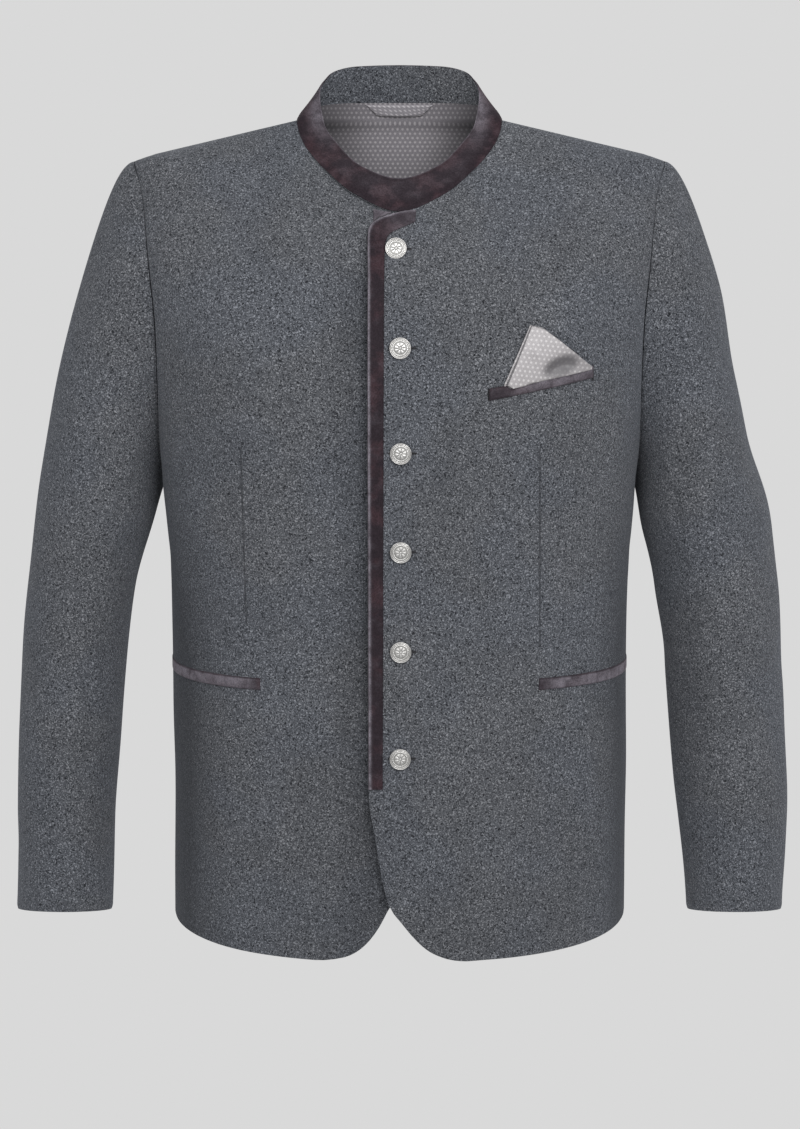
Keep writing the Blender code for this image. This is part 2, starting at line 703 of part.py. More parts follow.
def main():
    for obj in list(bpy.data.objects):
        bpy.data.objects.remove(obj)
    over = front_panel(EDGE_OVER, over_lift)
    under = front_panel(EDGE_UNDER, no_lift)
    back = back_panel()
    over.wall("front_left", 1, "loden")
    under.wall("front_right", -1, "loden")
    back_lining(back)
    hanger_loop(back)
    for label, side, front in (("left", 1, over), ("right", -1, under)):
        back.wall(f"back_{label}", side, "loden")
        sleeve_piece(f"top_sleeve_{label}", side, BACK_SEAM - 360, FRONT_SEAM)
        sleeve_piece(f"under_sleeve_{label}", side, FRONT_SEAM, BACK_SEAM)
        hip_welt(f"hip_welt_{label}", front, side)
    collar_layer("collar_velvet", 0.0, VELVET, "velvet")
    collar_layer("collar_facing", VELVET + GAP, LINING, "loden")
    binding(over)
    neck_binding(under)
    breast_welt(over)
    pocket_square(over)
    for number, (x, z) in enumerate(zip(BUTTONS["x"], BUTTONS["z"]), 1):
        button(f"button_{number}", over, x, z)


main()
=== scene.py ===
"""Looks of a hollow stand-collar loden jacket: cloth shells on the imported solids, and a plain studio.

Metres, +Z up. The jacket faces -Y and its wearer's left is +X. The body form, the armhole and the
sleeve use the same sizes as the solids, with finer rows and columns and with the cloth's folds.
"""

import math

import bpy
import numpy as np
from bpy.props import FloatProperty, FloatVectorProperty, PointerProperty
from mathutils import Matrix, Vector


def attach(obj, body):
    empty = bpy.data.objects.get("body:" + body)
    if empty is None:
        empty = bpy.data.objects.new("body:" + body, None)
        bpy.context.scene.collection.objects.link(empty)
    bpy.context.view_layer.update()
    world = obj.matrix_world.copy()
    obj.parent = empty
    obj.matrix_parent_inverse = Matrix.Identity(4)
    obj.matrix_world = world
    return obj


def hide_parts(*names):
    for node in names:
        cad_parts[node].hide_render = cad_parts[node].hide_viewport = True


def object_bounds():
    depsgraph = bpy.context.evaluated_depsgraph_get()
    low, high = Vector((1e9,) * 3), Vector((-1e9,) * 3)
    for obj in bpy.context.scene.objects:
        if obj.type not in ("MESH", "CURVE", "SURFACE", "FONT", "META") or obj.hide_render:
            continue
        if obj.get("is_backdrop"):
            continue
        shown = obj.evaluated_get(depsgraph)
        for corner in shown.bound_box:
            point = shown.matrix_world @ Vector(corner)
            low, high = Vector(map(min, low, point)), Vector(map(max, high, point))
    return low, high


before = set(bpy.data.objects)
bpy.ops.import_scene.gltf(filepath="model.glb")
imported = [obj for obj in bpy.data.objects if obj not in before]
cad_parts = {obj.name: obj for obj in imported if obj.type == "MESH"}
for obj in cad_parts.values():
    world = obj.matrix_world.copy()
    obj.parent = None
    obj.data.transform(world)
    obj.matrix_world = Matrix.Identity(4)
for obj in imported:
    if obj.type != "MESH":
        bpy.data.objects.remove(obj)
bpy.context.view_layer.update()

bl_info = {
    "name": "Loden Jacket",
    "version": (1, 0, 0),
    "blender": (4, 5, 0),
    "location": "View3D > Sidebar > Loden Jacket",
    "description": "Builds the cloth, trims, buttons and stage of a hollow stand-collar loden jacket",
    "category": "Add Mesh",
}

# --- Sizes ------------------------------------------------------------------------------------

LODEN = 0.0020
VELVET = 0.0012
LINING = 0.0010
GAP = 0.0003
SEAM_TUCK = 0.0002

HEM = -0.6815
ARMPIT = -0.3025
SHOULDER_POINT = -0.032
NECK_FRONT = -0.074
NECK_BACK = 0.014

NECK_HALF_WIDTH = 0.0856
SHOULDER_HALF_WIDTH = 0.222
SIDE_SEAM_Y = 0.020
ARMHOLE_FRONT = 0.064
ARMHOLE_BACK = 0.062
ARMHOLE_EASE = 0.30
SHOULDER_DROP = 0.0018
OVERLAP = 0.0258
HEM_DIP = 0.0098
HEM_DIP_FROM = -0.45

OVER_LIFT = LODEN + GAP
OVER_FROM = 0.040
OVER_TO = 0.075

FRONT_SEAM = 120
BACK_SEAM = 260

TRIM_BOTTOM = -0.5408
TRIM_INNER = -0.0124
BINDING_TUCK = 0.0014
WELT_HEIGHT = 0.0098
HIP_WELT_TOP = -0.456
HIP_WELT_FROM = 0.1155
LINING_DEPTH = -0.19
LINING_TOP_Y = 0.0445
LINING_SLOPE = 0.42

# The upper front's free edge stands up a little, and the lower front sinks away beside it
EDGE_STANDS = 0.0016
EDGE_SINKS = 0.0060

# How close the first points lie to a cloth edge, and how far the edge rolls in
EDGE_STEPS = np.array([0, 0.0006, 0.0014, 0.0028])
EDGE_ROLL = 0.0012
EDGE_ROLL_WIDTH = 0.0030


def columns(names, *rows):
    """A table as one array for each named column."""
    return dict(zip(names.split(), np.array(rows, float).T))


# Level sections of the body, hem to neck: half-width, depths, and squareness of each half
BODY = columns(
    "z half_width front back front_square back_square",
    (-0.691, 0.1970, 0.1430, 0.1280, 2.50, 2.50),
    (-0.597, 0.1964, 0.1400, 0.1240, 2.50, 2.50),
    (-0.515, 0.1960, 0.1350, 0.1150, 2.45, 2.45),
    (-0.453, 0.1959, 0.1300, 0.1085, 2.40, 2.40),
    (-0.393, 0.1965, 0.1275, 0.1060, 2.40, 2.40),
    (-0.332, 0.1998, 0.1305, 0.1110, 2.40, 2.40),
    (-0.263, 0.2059, 0.1360, 0.1210, 2.40, 2.40),
    (-0.213, 0.2106, 0.1360, 0.1265, 2.40, 2.40),
    (-0.164, 0.2153, 0.1275, 0.1260, 2.50, 2.40),
    (-0.125, 0.2191, 0.1105, 0.1195, 2.80, 2.40),
    (-0.092, 0.2225, 0.0875, 0.1110, 3.10, 2.40),
    (-0.074, 0.2237, 0.0725, 0.1040, 3.25, 2.40),
    (-0.056, 0.2240, 0.0570, 0.0945, 3.35, 2.40),
    (-0.038, 0.2240, 0.0410, 0.0840, 3.30, 2.40),
    (-0.019, 0.2240, 0.0240, 0.0700, 2.90, 2.30),
    (-0.010, 0.2240, 0.0155, 0.0600, 2.50, 2.20),
    (0.000, 0.2240, 0.0080, 0.0500, 2.00, 2.00),
    (0.020, 0.2240, 0.0080, 0.0500, 2.00, 2.00),
)

# Height of the neckline, by angle from the middle of the back
NECK = columns("angle z", (0, 0.014), (30, 0.014), (60, 0.0105), (90, 0.0), (115, -0.021),
               (135, -0.041), (155, -0.0605), (180, -0.074))

# Top edge of the stand collar, by the same angle
COLLAR_TOP = columns(
    "angle x y z",
    (0, 0.0, 0.040, 0.0462),
    (30, 0.0367, 0.037, 0.0450),
    (60, 0.0603, 0.029, 0.0381),
    (90, 0.0676, 0.014, 0.0229),
    (115, 0.0629, -0.007, -0.0028),
    (135, 0.0509, -0.027, -0.0196),
    (155, 0.0320, -0.043, -0.0364),
    (180, 0.0, -0.053, -0.0465),
)
COLLAR_CLEAR = 0.0008
COLLAR_LAP = 0.0010

# Front edge of each front: how far it reaches across the middle (minus) or stays back (plus)
EDGE_OVER = columns(
    "z x",
    (-0.6815, 0.0560), (-0.6805, 0.0475), (-0.6780, 0.0375), (-0.6715, 0.0240), (-0.6606, 0.0120),
    (-0.6492, 0.0025), (-0.6360, -0.0074), (-0.6196, -0.0128), (-0.5997, -0.0167), (-0.5768, -0.0206),
    (-0.5488, -0.0252), (-0.5158, -0.0258), (-0.0975, -0.0252), (-0.0925, -0.0245), (-0.0874, -0.0224),
    (-0.0836, -0.0176), (-0.0796, -0.0070), (-0.0779, 0.0), (-0.0740, 0.0),
)
EDGE_UNDER = columns(
    "z x",
    (-0.6815, 0.0700), (-0.6806, 0.0580), (-0.6778, 0.0430), (-0.6693, 0.0295), (-0.6549, 0.0179), (-0.6384, 0.0087),
    (-0.6196, -0.0040), (-0.5987, -0.0126), (-0.5571, -0.0222), (-0.5158, -0.0258), (-0.0962, -0.0252),
    (-0.0899, -0.0245), (-0.0836, -0.0224), (-0.0795, -0.0176), (-0.0755, -0.0070), (-0.0740, 0.0),
)

# Level rings of the sleeve: centre, half-widths, rise to the outside and drop to the back
SLEEVE = columns(
    "z x y wide deep rise drop",
    (-0.6785, 0.2919, -0.026, 0.0414, 0.0515, 0.01, 0.22),
    (-0.597, 0.2905, -0.012, 0.0423, 0.0540, 0.04, 0.17),
    (-0.525, 0.2863, -0.004, 0.0439, 0.0565, 0.07, 0.12),
    (-0.453, 0.2815, 0.001, 0.0450, 0.0600, 0.10, 0.05),
    (-0.393, 0.2742, 0.004, 0.0455, 0.0640, 0.14, 0.00),
    (-0.327, 0.2611, 0.006, 0.0501, 0.0690, 0.16, 0.00),
)
LEAVE = columns("angle out forward down", (0, 0.97, 0.0, 0.24), (90, 0.97, 0.12, 0.2), (180, 0.9, 0.0, 0.4),
                (270, 0.97, -0.12, 0.2), (360, 0.97, 0.0, 0.24))
LEAVE_PULL = 0.27

# The binding: its outer edge round the neck corner, with its inner edge beside it
BINDING = columns(
    "x z inner_x inner_z",
    (0.0135, -0.0752, 0.0129, -0.0835),
    (0.0068, -0.0757, 0.0061, -0.0862),
    (0.0, -0.0768, -0.0013, -0.0891),
    (-0.0070, -0.0786, -0.0058, -0.0913),
    (-0.0176, -0.0826, -0.0095, -0.0945),
    (-0.0224, -0.0864, -0.0109, -0.0980),
    (-0.0245, -0.0918, -0.0117, -0.1024),
    (-0.0248, -0.0990, -0.0122, -0.1088),
)

WELT_INNER = (0.0725, -0.2232)
WELT_OUTER = (0.1576, -0.2074)
SQUARE = columns(
    "along bottom_x bottom_z top_x top_z",
    (0, 0.0840, -0.2103, 0.0846, -0.2098),
    (1, 0.0992, -0.2078, 0.1049, -0.1634),
    (2, 0.1149, -0.2048, 0.1149, -0.1658),
    (3, 0.1355, -0.2012, 0.1343, -0.1810),
    (4, 0.1551, -0.1973, 0.1553, -0.1969),
)

LOOP_HALF_WIDTH = 0.030
LOOP_TAPER = 0.0100
LOOP_TOP = 0.0125
LOOP_DROP = 0.0095

BUTTONS = columns("x z", (-0.0029, -0.1042), (0.0005, -0.181), (0.001, -0.2652), (0.001, -0.3469),
                  (0.001, -0.4303), (0.0005, -0.5168))

# Soft lines of the cloth: start and end across and up, bow, half-width, and height (minus is a trough)
FOLDS = "x1 z1 x2 z2 bow wide high"
FRONT_LEFT_FOLDS = columns(
    FOLDS,
    (0.190, -0.300, 0.120, -0.245, 0.006, 0.013, -0.0018),
    (0.196, -0.330, 0.135, -0.285, 0.007, 0.015, 0.0015),
    (0.200, -0.365, 0.150, -0.340, 0.004, 0.012, -0.0012),
    (0.150, -0.120, 0.110, -0.200, 0.010, 0.022, 0.0012),
    (0.070, -0.255, 0.120, -0.320, -0.008, 0.018, -0.0012),
    (0.105, -0.300, 0.060, -0.372, 0.006, 0.016, 0.0010),
    (0.040, -0.150, 0.075, -0.250, -0.006, 0.020, -0.0009),
    (0.085, -0.470, 0.075, -0.655, 0.006, 0.024, 0.0022),
    (0.128, -0.480, 0.138, -0.670, -0.004, 0.022, -0.0020),
    (0.168, -0.500, 0.172, -0.660, 0.003, 0.018, 0.0016),
    (0.045, -0.560, 0.060, -0.660, 0.002, 0.016, -0.0012),
)
FRONT_RIGHT_FOLDS = columns(
    FOLDS,
    (0.188, -0.290, 0.112, -0.262, 0.005, 0.012, -0.0017),
    (0.195, -0.322, 0.125, -0.302, 0.006, 0.016, 0.0016),
    (0.197, -0.372, 0.140, -0.330, 0.008, 0.013, -0.0014),
    (0.160, -0.115, 0.125, -0.215, 0.008, 0.020, 0.0013),
    (0.080, -0.200, 0.060, -0.330, 0.006, 0.022, -0.0010),
    (0.120, -0.350, 0.090, -0.430, -0.004, 0.017, 0.0011),
    (0.095, -0.490, 0.090, -0.668, -0.005, 0.023, -0.0021),
    (0.142, -0.475, 0.150, -0.660, 0.004, 0.020, 0.0023),
    (0.180, -0.510, 0.178, -0.655, 0.002, 0.016, -0.0015),
    (0.055, -0.540, 0.068, -0.665, 0.003, 0.018, 0.0013),
)
BACK_LEFT_FOLDS = columns(
    FOLDS,
    (0.190, -0.250, 0.115, -0.180, 0.008, 0.016, -0.0024),
    (0.196, -0.300, 0.100, -0.245, 0.010, 0.018, 0.0020),
    (0.180, -0.345, 0.070, -0.330, 0.006, 0.015, -0.0018),
    (0.160, -0.385, 0.030, -0.392, -0.005, 0.014, 0.0016),
    (0.150, -0.412, 0.050, -0.425, -0.006, 0.013, -0.0014),
    (0.060, -0.460, 0.072, -0.660, 0.004, 0.024, 0.0026),
    (0.120, -0.475, 0.130, -0.650, -0.004, 0.022, -0.0024),
    (0.050, -0.070, 0.110, -0.150, 0.010, 0.022, -0.0012),
)
BACK_RIGHT_FOLDS = columns(
    FOLDS,
    (0.186, -0.262, 0.105, -0.205, 0.006, 0.015, -0.0022),
    (0.198, -0.315, 0.120, -0.275, 0.008, 0.017, 0.0021),
    (0.175, -0.358, 0.050, -0.352, -0.005, 0.014, -0.0019),
    (0.150, -0.398, 0.040, -0.404, 0.006, 0.015, 0.0015),
    (0.075, -0.450, 0.062, -0.655, -0.005, 0.022, -0.0023),
    (0.135, -0.468, 0.122, -0.668, 0.004, 0.024, 0.0025),
    (0.045, -0.082, 0.095, -0.170, 0.008, 0.020, 0.0011),
)

# The same for the sleeves, with the way round in degrees from the top towards the front
SLEEVE_FOLDS = "turn1 z1 turn2 z2 bow wide high"
LEFT_SLEEVE_FOLDS = columns(
    SLEEVE_FOLDS,
    (150, -0.300, 70, -0.235, 0.010, 0.012, -0.0020),
    (165, -0.335, 60, -0.290, 0.008, 0.014, 0.0018),
    (160, -0.372, 75, -0.352, 0.006, 0.011, -0.0019),
    (150, -0.402, 85, -0.398, -0.004, 0.010, 0.0016),
    (158, -0.432, 60, -0.446, -0.007, 0.012, -0.0017),
    (140, -0.480, 80, -0.510, -0.006, 0.014, 0.0012),
    (20, -0.110, 45, -0.230, 0.008, 0.020, 0.0014),
    (-40, -0.150, -15, -0.300, 0.006, 0.022, -0.0014),
    (250, -0.380, 330, -0.410, 0.006, 0.014, -0.0020),
    (240, -0.430, 310, -0.440, -0.005, 0.013, 0.0017),
    (30, -0.560, 10, -0.660, 0.003, 0.018, 0.0012),
    (90, -0.590, 110, -0.670, 0.002, 0.016, -0.0012),
    (5, -0.160, 5, -0.310, 0.0, 0.040, -0.0042),
    (180, -0.390, 180, -0.650, 0.0, 0.028, 0.0070),
    (180, -0.310, 180, -0.440, 0.0, 0.030, 0.0050),
    (0, -0.430, 0, -0.640, 0.0, 0.034, 0.0045),
    (0, -0.290, 0, -0.450, 0.0, 0.038, 0.0066),
)
RIGHT_SLEEVE_FOLDS = columns(
    SLEEVE_FOLDS,
    (155, -0.292, 62, -0.246, 0.008, 0.013, -0.0019),
    (160, -0.328, 72, -0.300, 0.007, 0.012, 0.0017),
    (165, -0.362, 58, -0.368, -0.005, 0.012, -0.0018),
    (148, -0.410, 80, -0.392, 0.005, 0.011, 0.0017),
    (155, -0.445, 66, -0.432, 0.006, 0.012, -0.0015),
    (145, -0.495, 90, -0.530, -0.005, 0.014, 0.0012),
    (28, -0.120, 40, -0.260, -0.006, 0.019, 0.0013),
    (-35, -0.170, -20, -0.330, 0.006, 0.022, -0.0013),
    (245, -0.372, 325, -0.396, 0.005, 0.013, -0.0019),
    (250, -0.424, 320, -0.450, 0.004, 0.014, 0.0018),
    (15, -0.600, 25, -0.672, 0.002, 0.017, -0.0012),
    (70, -0.560, 85, -0.650, 0.003, 0.018, 0.0011),
)

# Neck edge of the right front below the collar, by distance from the middle
UNDER_BINDING = columns("x top bottom", (0.0070, -0.0742, -0.0752), (0.0115, -0.0738, -0.0766),
                        (0.0176, -0.0727, -0.0788), (0.0215, -0.0718, -0.0815))

# Way the square's rows of dots turn from level, and its dent above the welt with the rolls beside it
SQUARE_TURN = 0.12
SQUARE_FOLDS = columns(
    FOLDS,
    (0.115, -0.203, 0.142, -0.193, 0.002, 0.0055, -0.0036),
    (0.100, -0.180, 0.122, -0.196, 0.001, 0.0050, 0.0012),
    (0.122, -0.172, 0.146, -0.196, -0.001, 0.0050, 0.0010),
)

# Front darts: how far from the middle at the top and at the bottom, and their levels
DARTS = columns("side top_x top_z bottom_x bottom_z", (-1, 0.1300, -0.258, 0.1270, -0.417),
                (1, 0.1145, -0.260, 0.1163, -0.439))


def smooth(xs, ys, at, flat_ends=False):
    """A curve through the rows of a table that never overshoots them."""
    if xs[0] > xs[-1]:
        xs, ys = xs[::-1], ys[::-1]
    step = np.diff(xs)
    slope = np.diff(ys) / step
    before, after = slope[:-1], slope[1:]
    both = before + after
    tangent = np.zeros_like(ys)
    tangent[1:-1] = np.where(before * after > 0, 2 * before * after / np.where(both == 0, 1, both), 0)
    if not flat_ends:
        tangent[0], tangent[-1] = slope[0], slope[-1]
    at = np.clip(at, xs[0], xs[-1])
    k = np.clip(np.searchsorted(xs, at, side="right") - 1, 0, len(step) - 1)
    t = (at - xs[k]) / step[k]
    rise = ys[k + 1] - ys[k]
    bend = step[k] * ((1 - t) * tangent[k] - t * tangent[k + 1]) + (2 * t - 1) * rise
    return ys[k] + t * rise + t * (1 - t) * bend


def ease(low, high, at):
    t = np.clip((at - low) / (high - low), 0, 1)
    return t * t * (3 - 2 * t)


def unit(v):
    return v / np.maximum(np.linalg.norm(v, axis=-1, keepdims=True), 1e-12)


def mirrored(points, side):
    return points * np.array([side, 1, 1])


# --- The body form ------------------------------------------------------------------------------


def section(z):
    """Half-width, depths and squarenesses (front, back) of the level section at z."""
    names = ("half_width", "front", "back", "front_square", "back_square")
    half_width, *rest = (smooth(BODY["z"], BODY[name], z) for name in names)
    reach = z / SHOULDER_POINT
    shoulder = NECK_HALF_WIDTH + (SHOULDER_HALF_WIDTH - NECK_HALF_WIDTH) * np.maximum(reach, 0)
    return np.minimum(half_width, shoulder), *rest


def half_of_section(z, in_front):
    half_width, front, back, front_square, back_square = section(z)
    return half_width, np.where(in_front, front, back), np.where(in_front, front_square, back_square)


def neckline(angle):
    """The neckline at an angle in degrees from the middle of the back."""
    turn = np.radians(angle)
    x = NECK_HALF_WIDTH * np.sin(turn)
    z = smooth(NECK["angle"], NECK["z"], np.abs(angle), flat_ends=True)
    in_front = np.cos(turn) < 0
    half_width, depth, square = half_of_section(z, in_front)
    y = depth * np.maximum(1 - (np.abs(x) / half_width) ** square, 0) ** (1 / square)
    return np.stack([x, np.where(in_front, -y, y), z], -1)


def neckline_x(z):
    """How far from the middle the neckline is at a level."""
    angle = np.linspace(180, 30, 400)
    height = smooth(NECK["angle"], NECK["z"], angle, flat_ends=True)
    return NECK_HALF_WIDTH * np.sin(np.radians(np.interp(z, height, angle)))


def angle_at_x(x, z, in_front=True):
    half_width, _, square = half_of_section(z, in_front)
    ratio = np.clip(np.abs(x) / half_width, 0, 1)
    return np.arccos(np.sign(x) * ratio ** (square / 2))


def angle_at_y(y, z):
    """The section's angle at a depth: plus in front of the side, minus behind it."""
    _, depth, square = half_of_section(z, np.asarray(y) < 0)
    ratio = np.clip(np.abs(y) / depth, 0, 1)
    return -np.sign(y) * np.arcsin(ratio ** (square / 2))


def form(angle, z):
    """Points and outward normals of the body form. 90 degrees is the middle of the front."""
    c, s = np.cos(angle), np.sin(angle)
    half_width, depth, square = half_of_section(z, s > 0)
    x = half_width * np.sign(c) * np.abs(c) ** (2 / square)
    y = -depth * np.sign(s) * np.abs(s) ** (2 / square)

    def level(at_z):
        wide, deep, n = half_of_section(at_z, s > 0)
        return (np.abs(x) / wide) ** n + (np.abs(y) / deep) ** n

    step = 0.0005
    normal = np.stack(
        [
            square * np.sign(x) * np.abs(x) ** (square - 1) / half_width**square,
            square * np.sign(y) * np.abs(y) ** (square - 1) / depth**square,
            (level(z + step) - level(z - step)) / (2 * step),
        ],
        -1,
    )
    dip = HEM_DIP * np.maximum(s, 0) ** 1.5 * ease(HEM_DIP_FROM, HEM, z)
    dip = dip + SHOULDER_DROP * ease(0.205, 0.2235, np.abs(x)) * ease(-0.12, -0.045, z)
    return np.stack([x, y, z - dip], -1), unit(normal)


def armhole(angle):
    """Depth and level of the armhole, by angle in degrees from its top towards the front."""
    turn = np.radians(angle)
    z = (SHOULDER_POINT + ARMPIT) / 2 + (SHOULDER_POINT - ARMPIT) / 2 * np.cos(turn)
    width = np.where(np.sin(turn) > 0, ARMHOLE_FRONT, ARMHOLE_BACK)
    head = 1 - ARMHOLE_EASE * np.maximum(np.cos(turn), 0) ** 4
    return SIDE_SEAM_Y * (1 - np.cos(turn)) / 2 - width * head * np.sin(turn), z


def seam_y(z, in_front):
    """Depth at which the fronts or the back end: at the side seam, the armhole or the shoulder seam."""
    middle, reach = (SHOULDER_POINT + ARMPIT) / 2, (SHOULDER_POINT - ARMPIT) / 2
    turn = np.degrees(np.arccos(np.clip((z - middle) / reach, -1, 1)))
    return armhole(turn if in_front else 360 - turn)[0]


def outer_y(z, in_front):
    return float(seam_y(z, in_front)) + (SEAM_TUCK if in_front else -SEAM_TUCK)


# --- Cloth ----------------------------------------------------------------------------------------


def folds_at(folds, across, up):
    """Rise and fall of the cloth from a table of soft lines, each fading out towards its ends."""
    total = np.zeros_like(across)
    names = list(folds)
    for x1, z1, x2, z2, bow, wide, high in zip(*(folds[name] for name in names)):
        line = np.array([x2 - x1, z2 - z1])
        long = math.hypot(*line)
        along = ((across - x1) * line[0] + (up - z1) * line[1]) / long**2
        aside = ((across - x1) * line[1] - (up - z1) * line[0]) / long
        aside = aside + bow * 4 * along * (1 - along)
        fade = ease(-0.15, 0.35, along) * ease(1.15, 0.65, along)
        total += high * fade * np.exp(-((aside / wide) ** 2))
    return total * settings().fold_depth


def slow_waves(across, up, seed):
    """The slight unevenness that steamed and hung wool keeps."""
    waves = (
        np.sin(across * 31 + up * 13 + seed)
        + 0.8 * np.sin(across * 17 - up * 37 + 2.1 * seed)
        + 0.6 * np.sin(across * 53 + up * 29 + 3.7 * seed)
        + 0.4 * np.sin(across * 71 - up * 61 + 5.3 * seed)
    )
    return 0.00028 * waves


def lengths_along(points, axis):
    """Length from the first point of each line of a grid."""
    steps = np.linalg.norm(np.diff(points, axis=axis), axis=-1)
    start = np.zeros_like(np.take(steps, [0], axis=axis))
    return np.cumsum(np.concatenate([start, steps], axis=axis), axis=axis)


def edge_distances(points):
    """Distance of each point of a grid from its first and last column, then its first and last row."""
    across, down = lengths_along(points, 1), lengths_along(points, 0)
    return across, across[:, -1:] - across, down, down[-1:] - down


def spread(length, count):
    """Distances of points along a length, closer together at its two ends."""
    near = EDGE_STEPS * min(1, length / 0.02)
    middle = np.linspace(near[-1], length - near[-1], count - 2 * len(near) + 2)
    return np.concatenate([near[:-1], middle, length - near[-2::-1]])


def mesh_of(name, verts, faces, uv=None, sharp=55):
    mesh = bpy.data.meshes.new(name)
    mesh.from_pydata(verts, [], faces)
    if uv is not None:
        layer = mesh.uv_layers.new(name="Cloth")
        index = np.empty(len(mesh.loops), np.int32)
        mesh.loops.foreach_get("vertex_index", index)
        layer.data.foreach_set("uv", uv[index].astype(np.float32).ravel())
    mesh.shade_smooth()
    mesh.set_sharp_from_angle(angle=math.radians(sharp))
    piece = bpy.data.objects.new(name, mesh)
    bpy.context.scene.collection.objects.link(piece)
    return piece


def mark(piece, name, values):
    """Stores one number for each point of a piece, for its finish to read."""
    layer = piece.data.attributes.new(name, "FLOAT", "POINT")
    layer.data.foreach_set("value", np.asarray(values, np.float32).ravel())


def shell(name, *layers, sharp=55):
    """Cloth walls, each between two grids of points with its flat places, closed round their edges."""
    verts, faces, flats, start = [], [], [], 0
    for outer, inner, uv in layers:
        rows, cols = outer.shape[:2]
        count = rows * cols
        at = np.arange(count).reshape(rows, cols)
        quads = np.stack([at[:-1, :-1], at[:-1, 1:], at[1:, 1:], at[1:, :-1]], -1).reshape(-1, 4)
        rim = np.concatenate([at[0, :-1], at[:-1, -1], at[-1, :0:-1], at[:0:-1, 0]])
        after = np.roll(rim, -1)
        edge = np.stack([after, rim, rim + count, after + count], -1)
        wall = np.concatenate([quads, quads[:, ::-1] + count, edge])
        row, col = (rows - 1) // 2, (cols - 1) // 2
        across, down = outer[row, col + 1] - outer[row, col], outer[row + 1, col] - outer[row, col]
        if np.cross(across, down) @ (outer - inner)[row, col] < 0:
            wall = wall[:, ::-1]
        verts += [outer.reshape(-1, 3), inner.reshape(-1, 3)]
        faces.append(wall + start)
        flats += [uv.reshape(-1, 2)] * 2
        start += 2 * count
    return mesh_of(name, np.concatenate(verts).tolist(), np.concatenate(faces).tolist(),
                   np.concatenate(flats), sharp)


def dress(piece, finish, *nodes):
    """Gives a piece its finish and its place on the frame."""
    piece.data.materials.append(finish_named(finish))
    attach(piece, "root")
    if nodes:
        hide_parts(*nodes)
    return piece


def declare_sheet(points):
    """Works out a piece's flat cut: the longest way across and down what was laid out, and its area, and keeps none of
    it.
    """
    across, down = points[:, 1:] - points[:, :-1], points[1:] - points[:-1]
    area = np.linalg.norm(np.cross(across[:-1], down[:, :-1]), axis=-1).sum()
    width = max(0.01, lengths_along(points, 1).max())
    length = max(0.01, lengths_along(points, 0).max())
    area = min(max(area, 0.3 * width * length), width * length)


def cloth(name, points, normals, thickness, finish, node, rolls=(1, 1, 1, 1), side=1, uv=None):
    """A cloth piece on its form, standing for a node of the frame.

    rolls says how far its edges roll in: first column, last column, first row, last row.
    """
    sink = np.zeros(points.shape[:2])
    for rolled, distance in zip(rolls, edge_distances(points)):
        sink = np.maximum(sink, rolled * EDGE_ROLL * (1 - ease(0, EDGE_ROLL_WIDTH, distance)))
    outer = points - sink[..., None] * normals
    inner = points - thickness * normals
    if uv is None:
        uv = np.stack([lengths_along(points, 1), lengths_along(points, 0)], -1)
    piece = shell(name, (mirrored(outer, side), mirrored(inner, side), uv))
    declare_sheet(points)
    return dress(piece, finish, node)


def strip(name, place, clear, crown, finish, node, side=1, ends=0.0012, uv=None):
    """A flat trim with rounded edges, lying clear of a grid of points, and crown thick."""
    points, normals = place
    near = np.min(np.stack(edge_distances(points)), axis=0)
    rounded = np.sqrt(np.clip(1 - (1 - np.clip(near / ends, 0, 1)) ** 2, 0.02, 1))
    clear = np.broadcast_to(clear, points.shape[:2])
    outer = points + (clear + crown * rounded)[..., None] * normals
    inner = points + clear[..., None] * normals
    if uv is None:
        uv = np.stack([lengths_along(points, 1), lengths_along(points, 0)], -1)
    piece = shell(name, (mirrored(outer, side), mirrored(inner, side), uv), sharp=75)
    declare_sheet(outer)
    return dress(piece, finish, *([node] if node else []))


# --- Body panels ------------------------------------------------------------------------------------


def stepped(*runs):
    """Levels from the first one up, in runs of (top, step)."""
    levels = [HEM + step for step in EDGE_STEPS]
    for top, step in runs:
        count = max(1, round((top - levels[-1]) / step))
        levels += list(np.linspace(levels[-1], top, count + 1)[1:])
    return np.array(levels)


def row(start, end, z, cols):
    """Angles along one level, close together at both ends."""
    fine = np.linspace(start, end, 240)
    points, _ = form(fine, np.full(240, z))
    length = np.concatenate([[0], np.cumsum(np.linalg.norm(np.diff(points, axis=0), axis=1))])
    return np.interp(spread(length[-1], cols), length, fine)


def over_lift(x):
    return OVER_LIFT * (1 - ease(OVER_FROM, OVER_TO, x))


def no_lift(x):
    return np.zeros_like(x)


def front_surface(x, z, side):
    """Point and normal of a front at a distance from the middle and a level, folds included."""
    x, z = np.broadcast_arrays(np.asarray(x, float), np.asarray(z, float))
    return finish_front(angle_at_x(x, z), z, side)


def finish_front(angle, z, side):
    points, normals = form(angle, z)
    x, y = points[..., 0], points[..., 1]
    folds, lift = (FRONT_LEFT_FOLDS, over_lift) if side > 0 else (FRONT_RIGHT_FOLDS, no_lift)
    free = ease(0.028, 0.055, x) * ease(0, 0.035, seam_y(z, True) - y) * ease(-0.012, -0.075, z)
    rise = (folds_at(folds, x, z) + slow_waves(x, z, 1 + side)) * free
    below_neck = ease(-0.080, -0.130, z)
    if side > 0:
        rise = rise + EDGE_STANDS * ease(0.010, -0.020, x) * (0.4 + 0.6 * ease(-0.50, -0.60, z)) * below_neck
    else:
        rise = rise - EDGE_SINKS * ease(0.066, 0.026, x) * below_neck
    return points + (lift(x) + rise)[..., None] * normals, normals


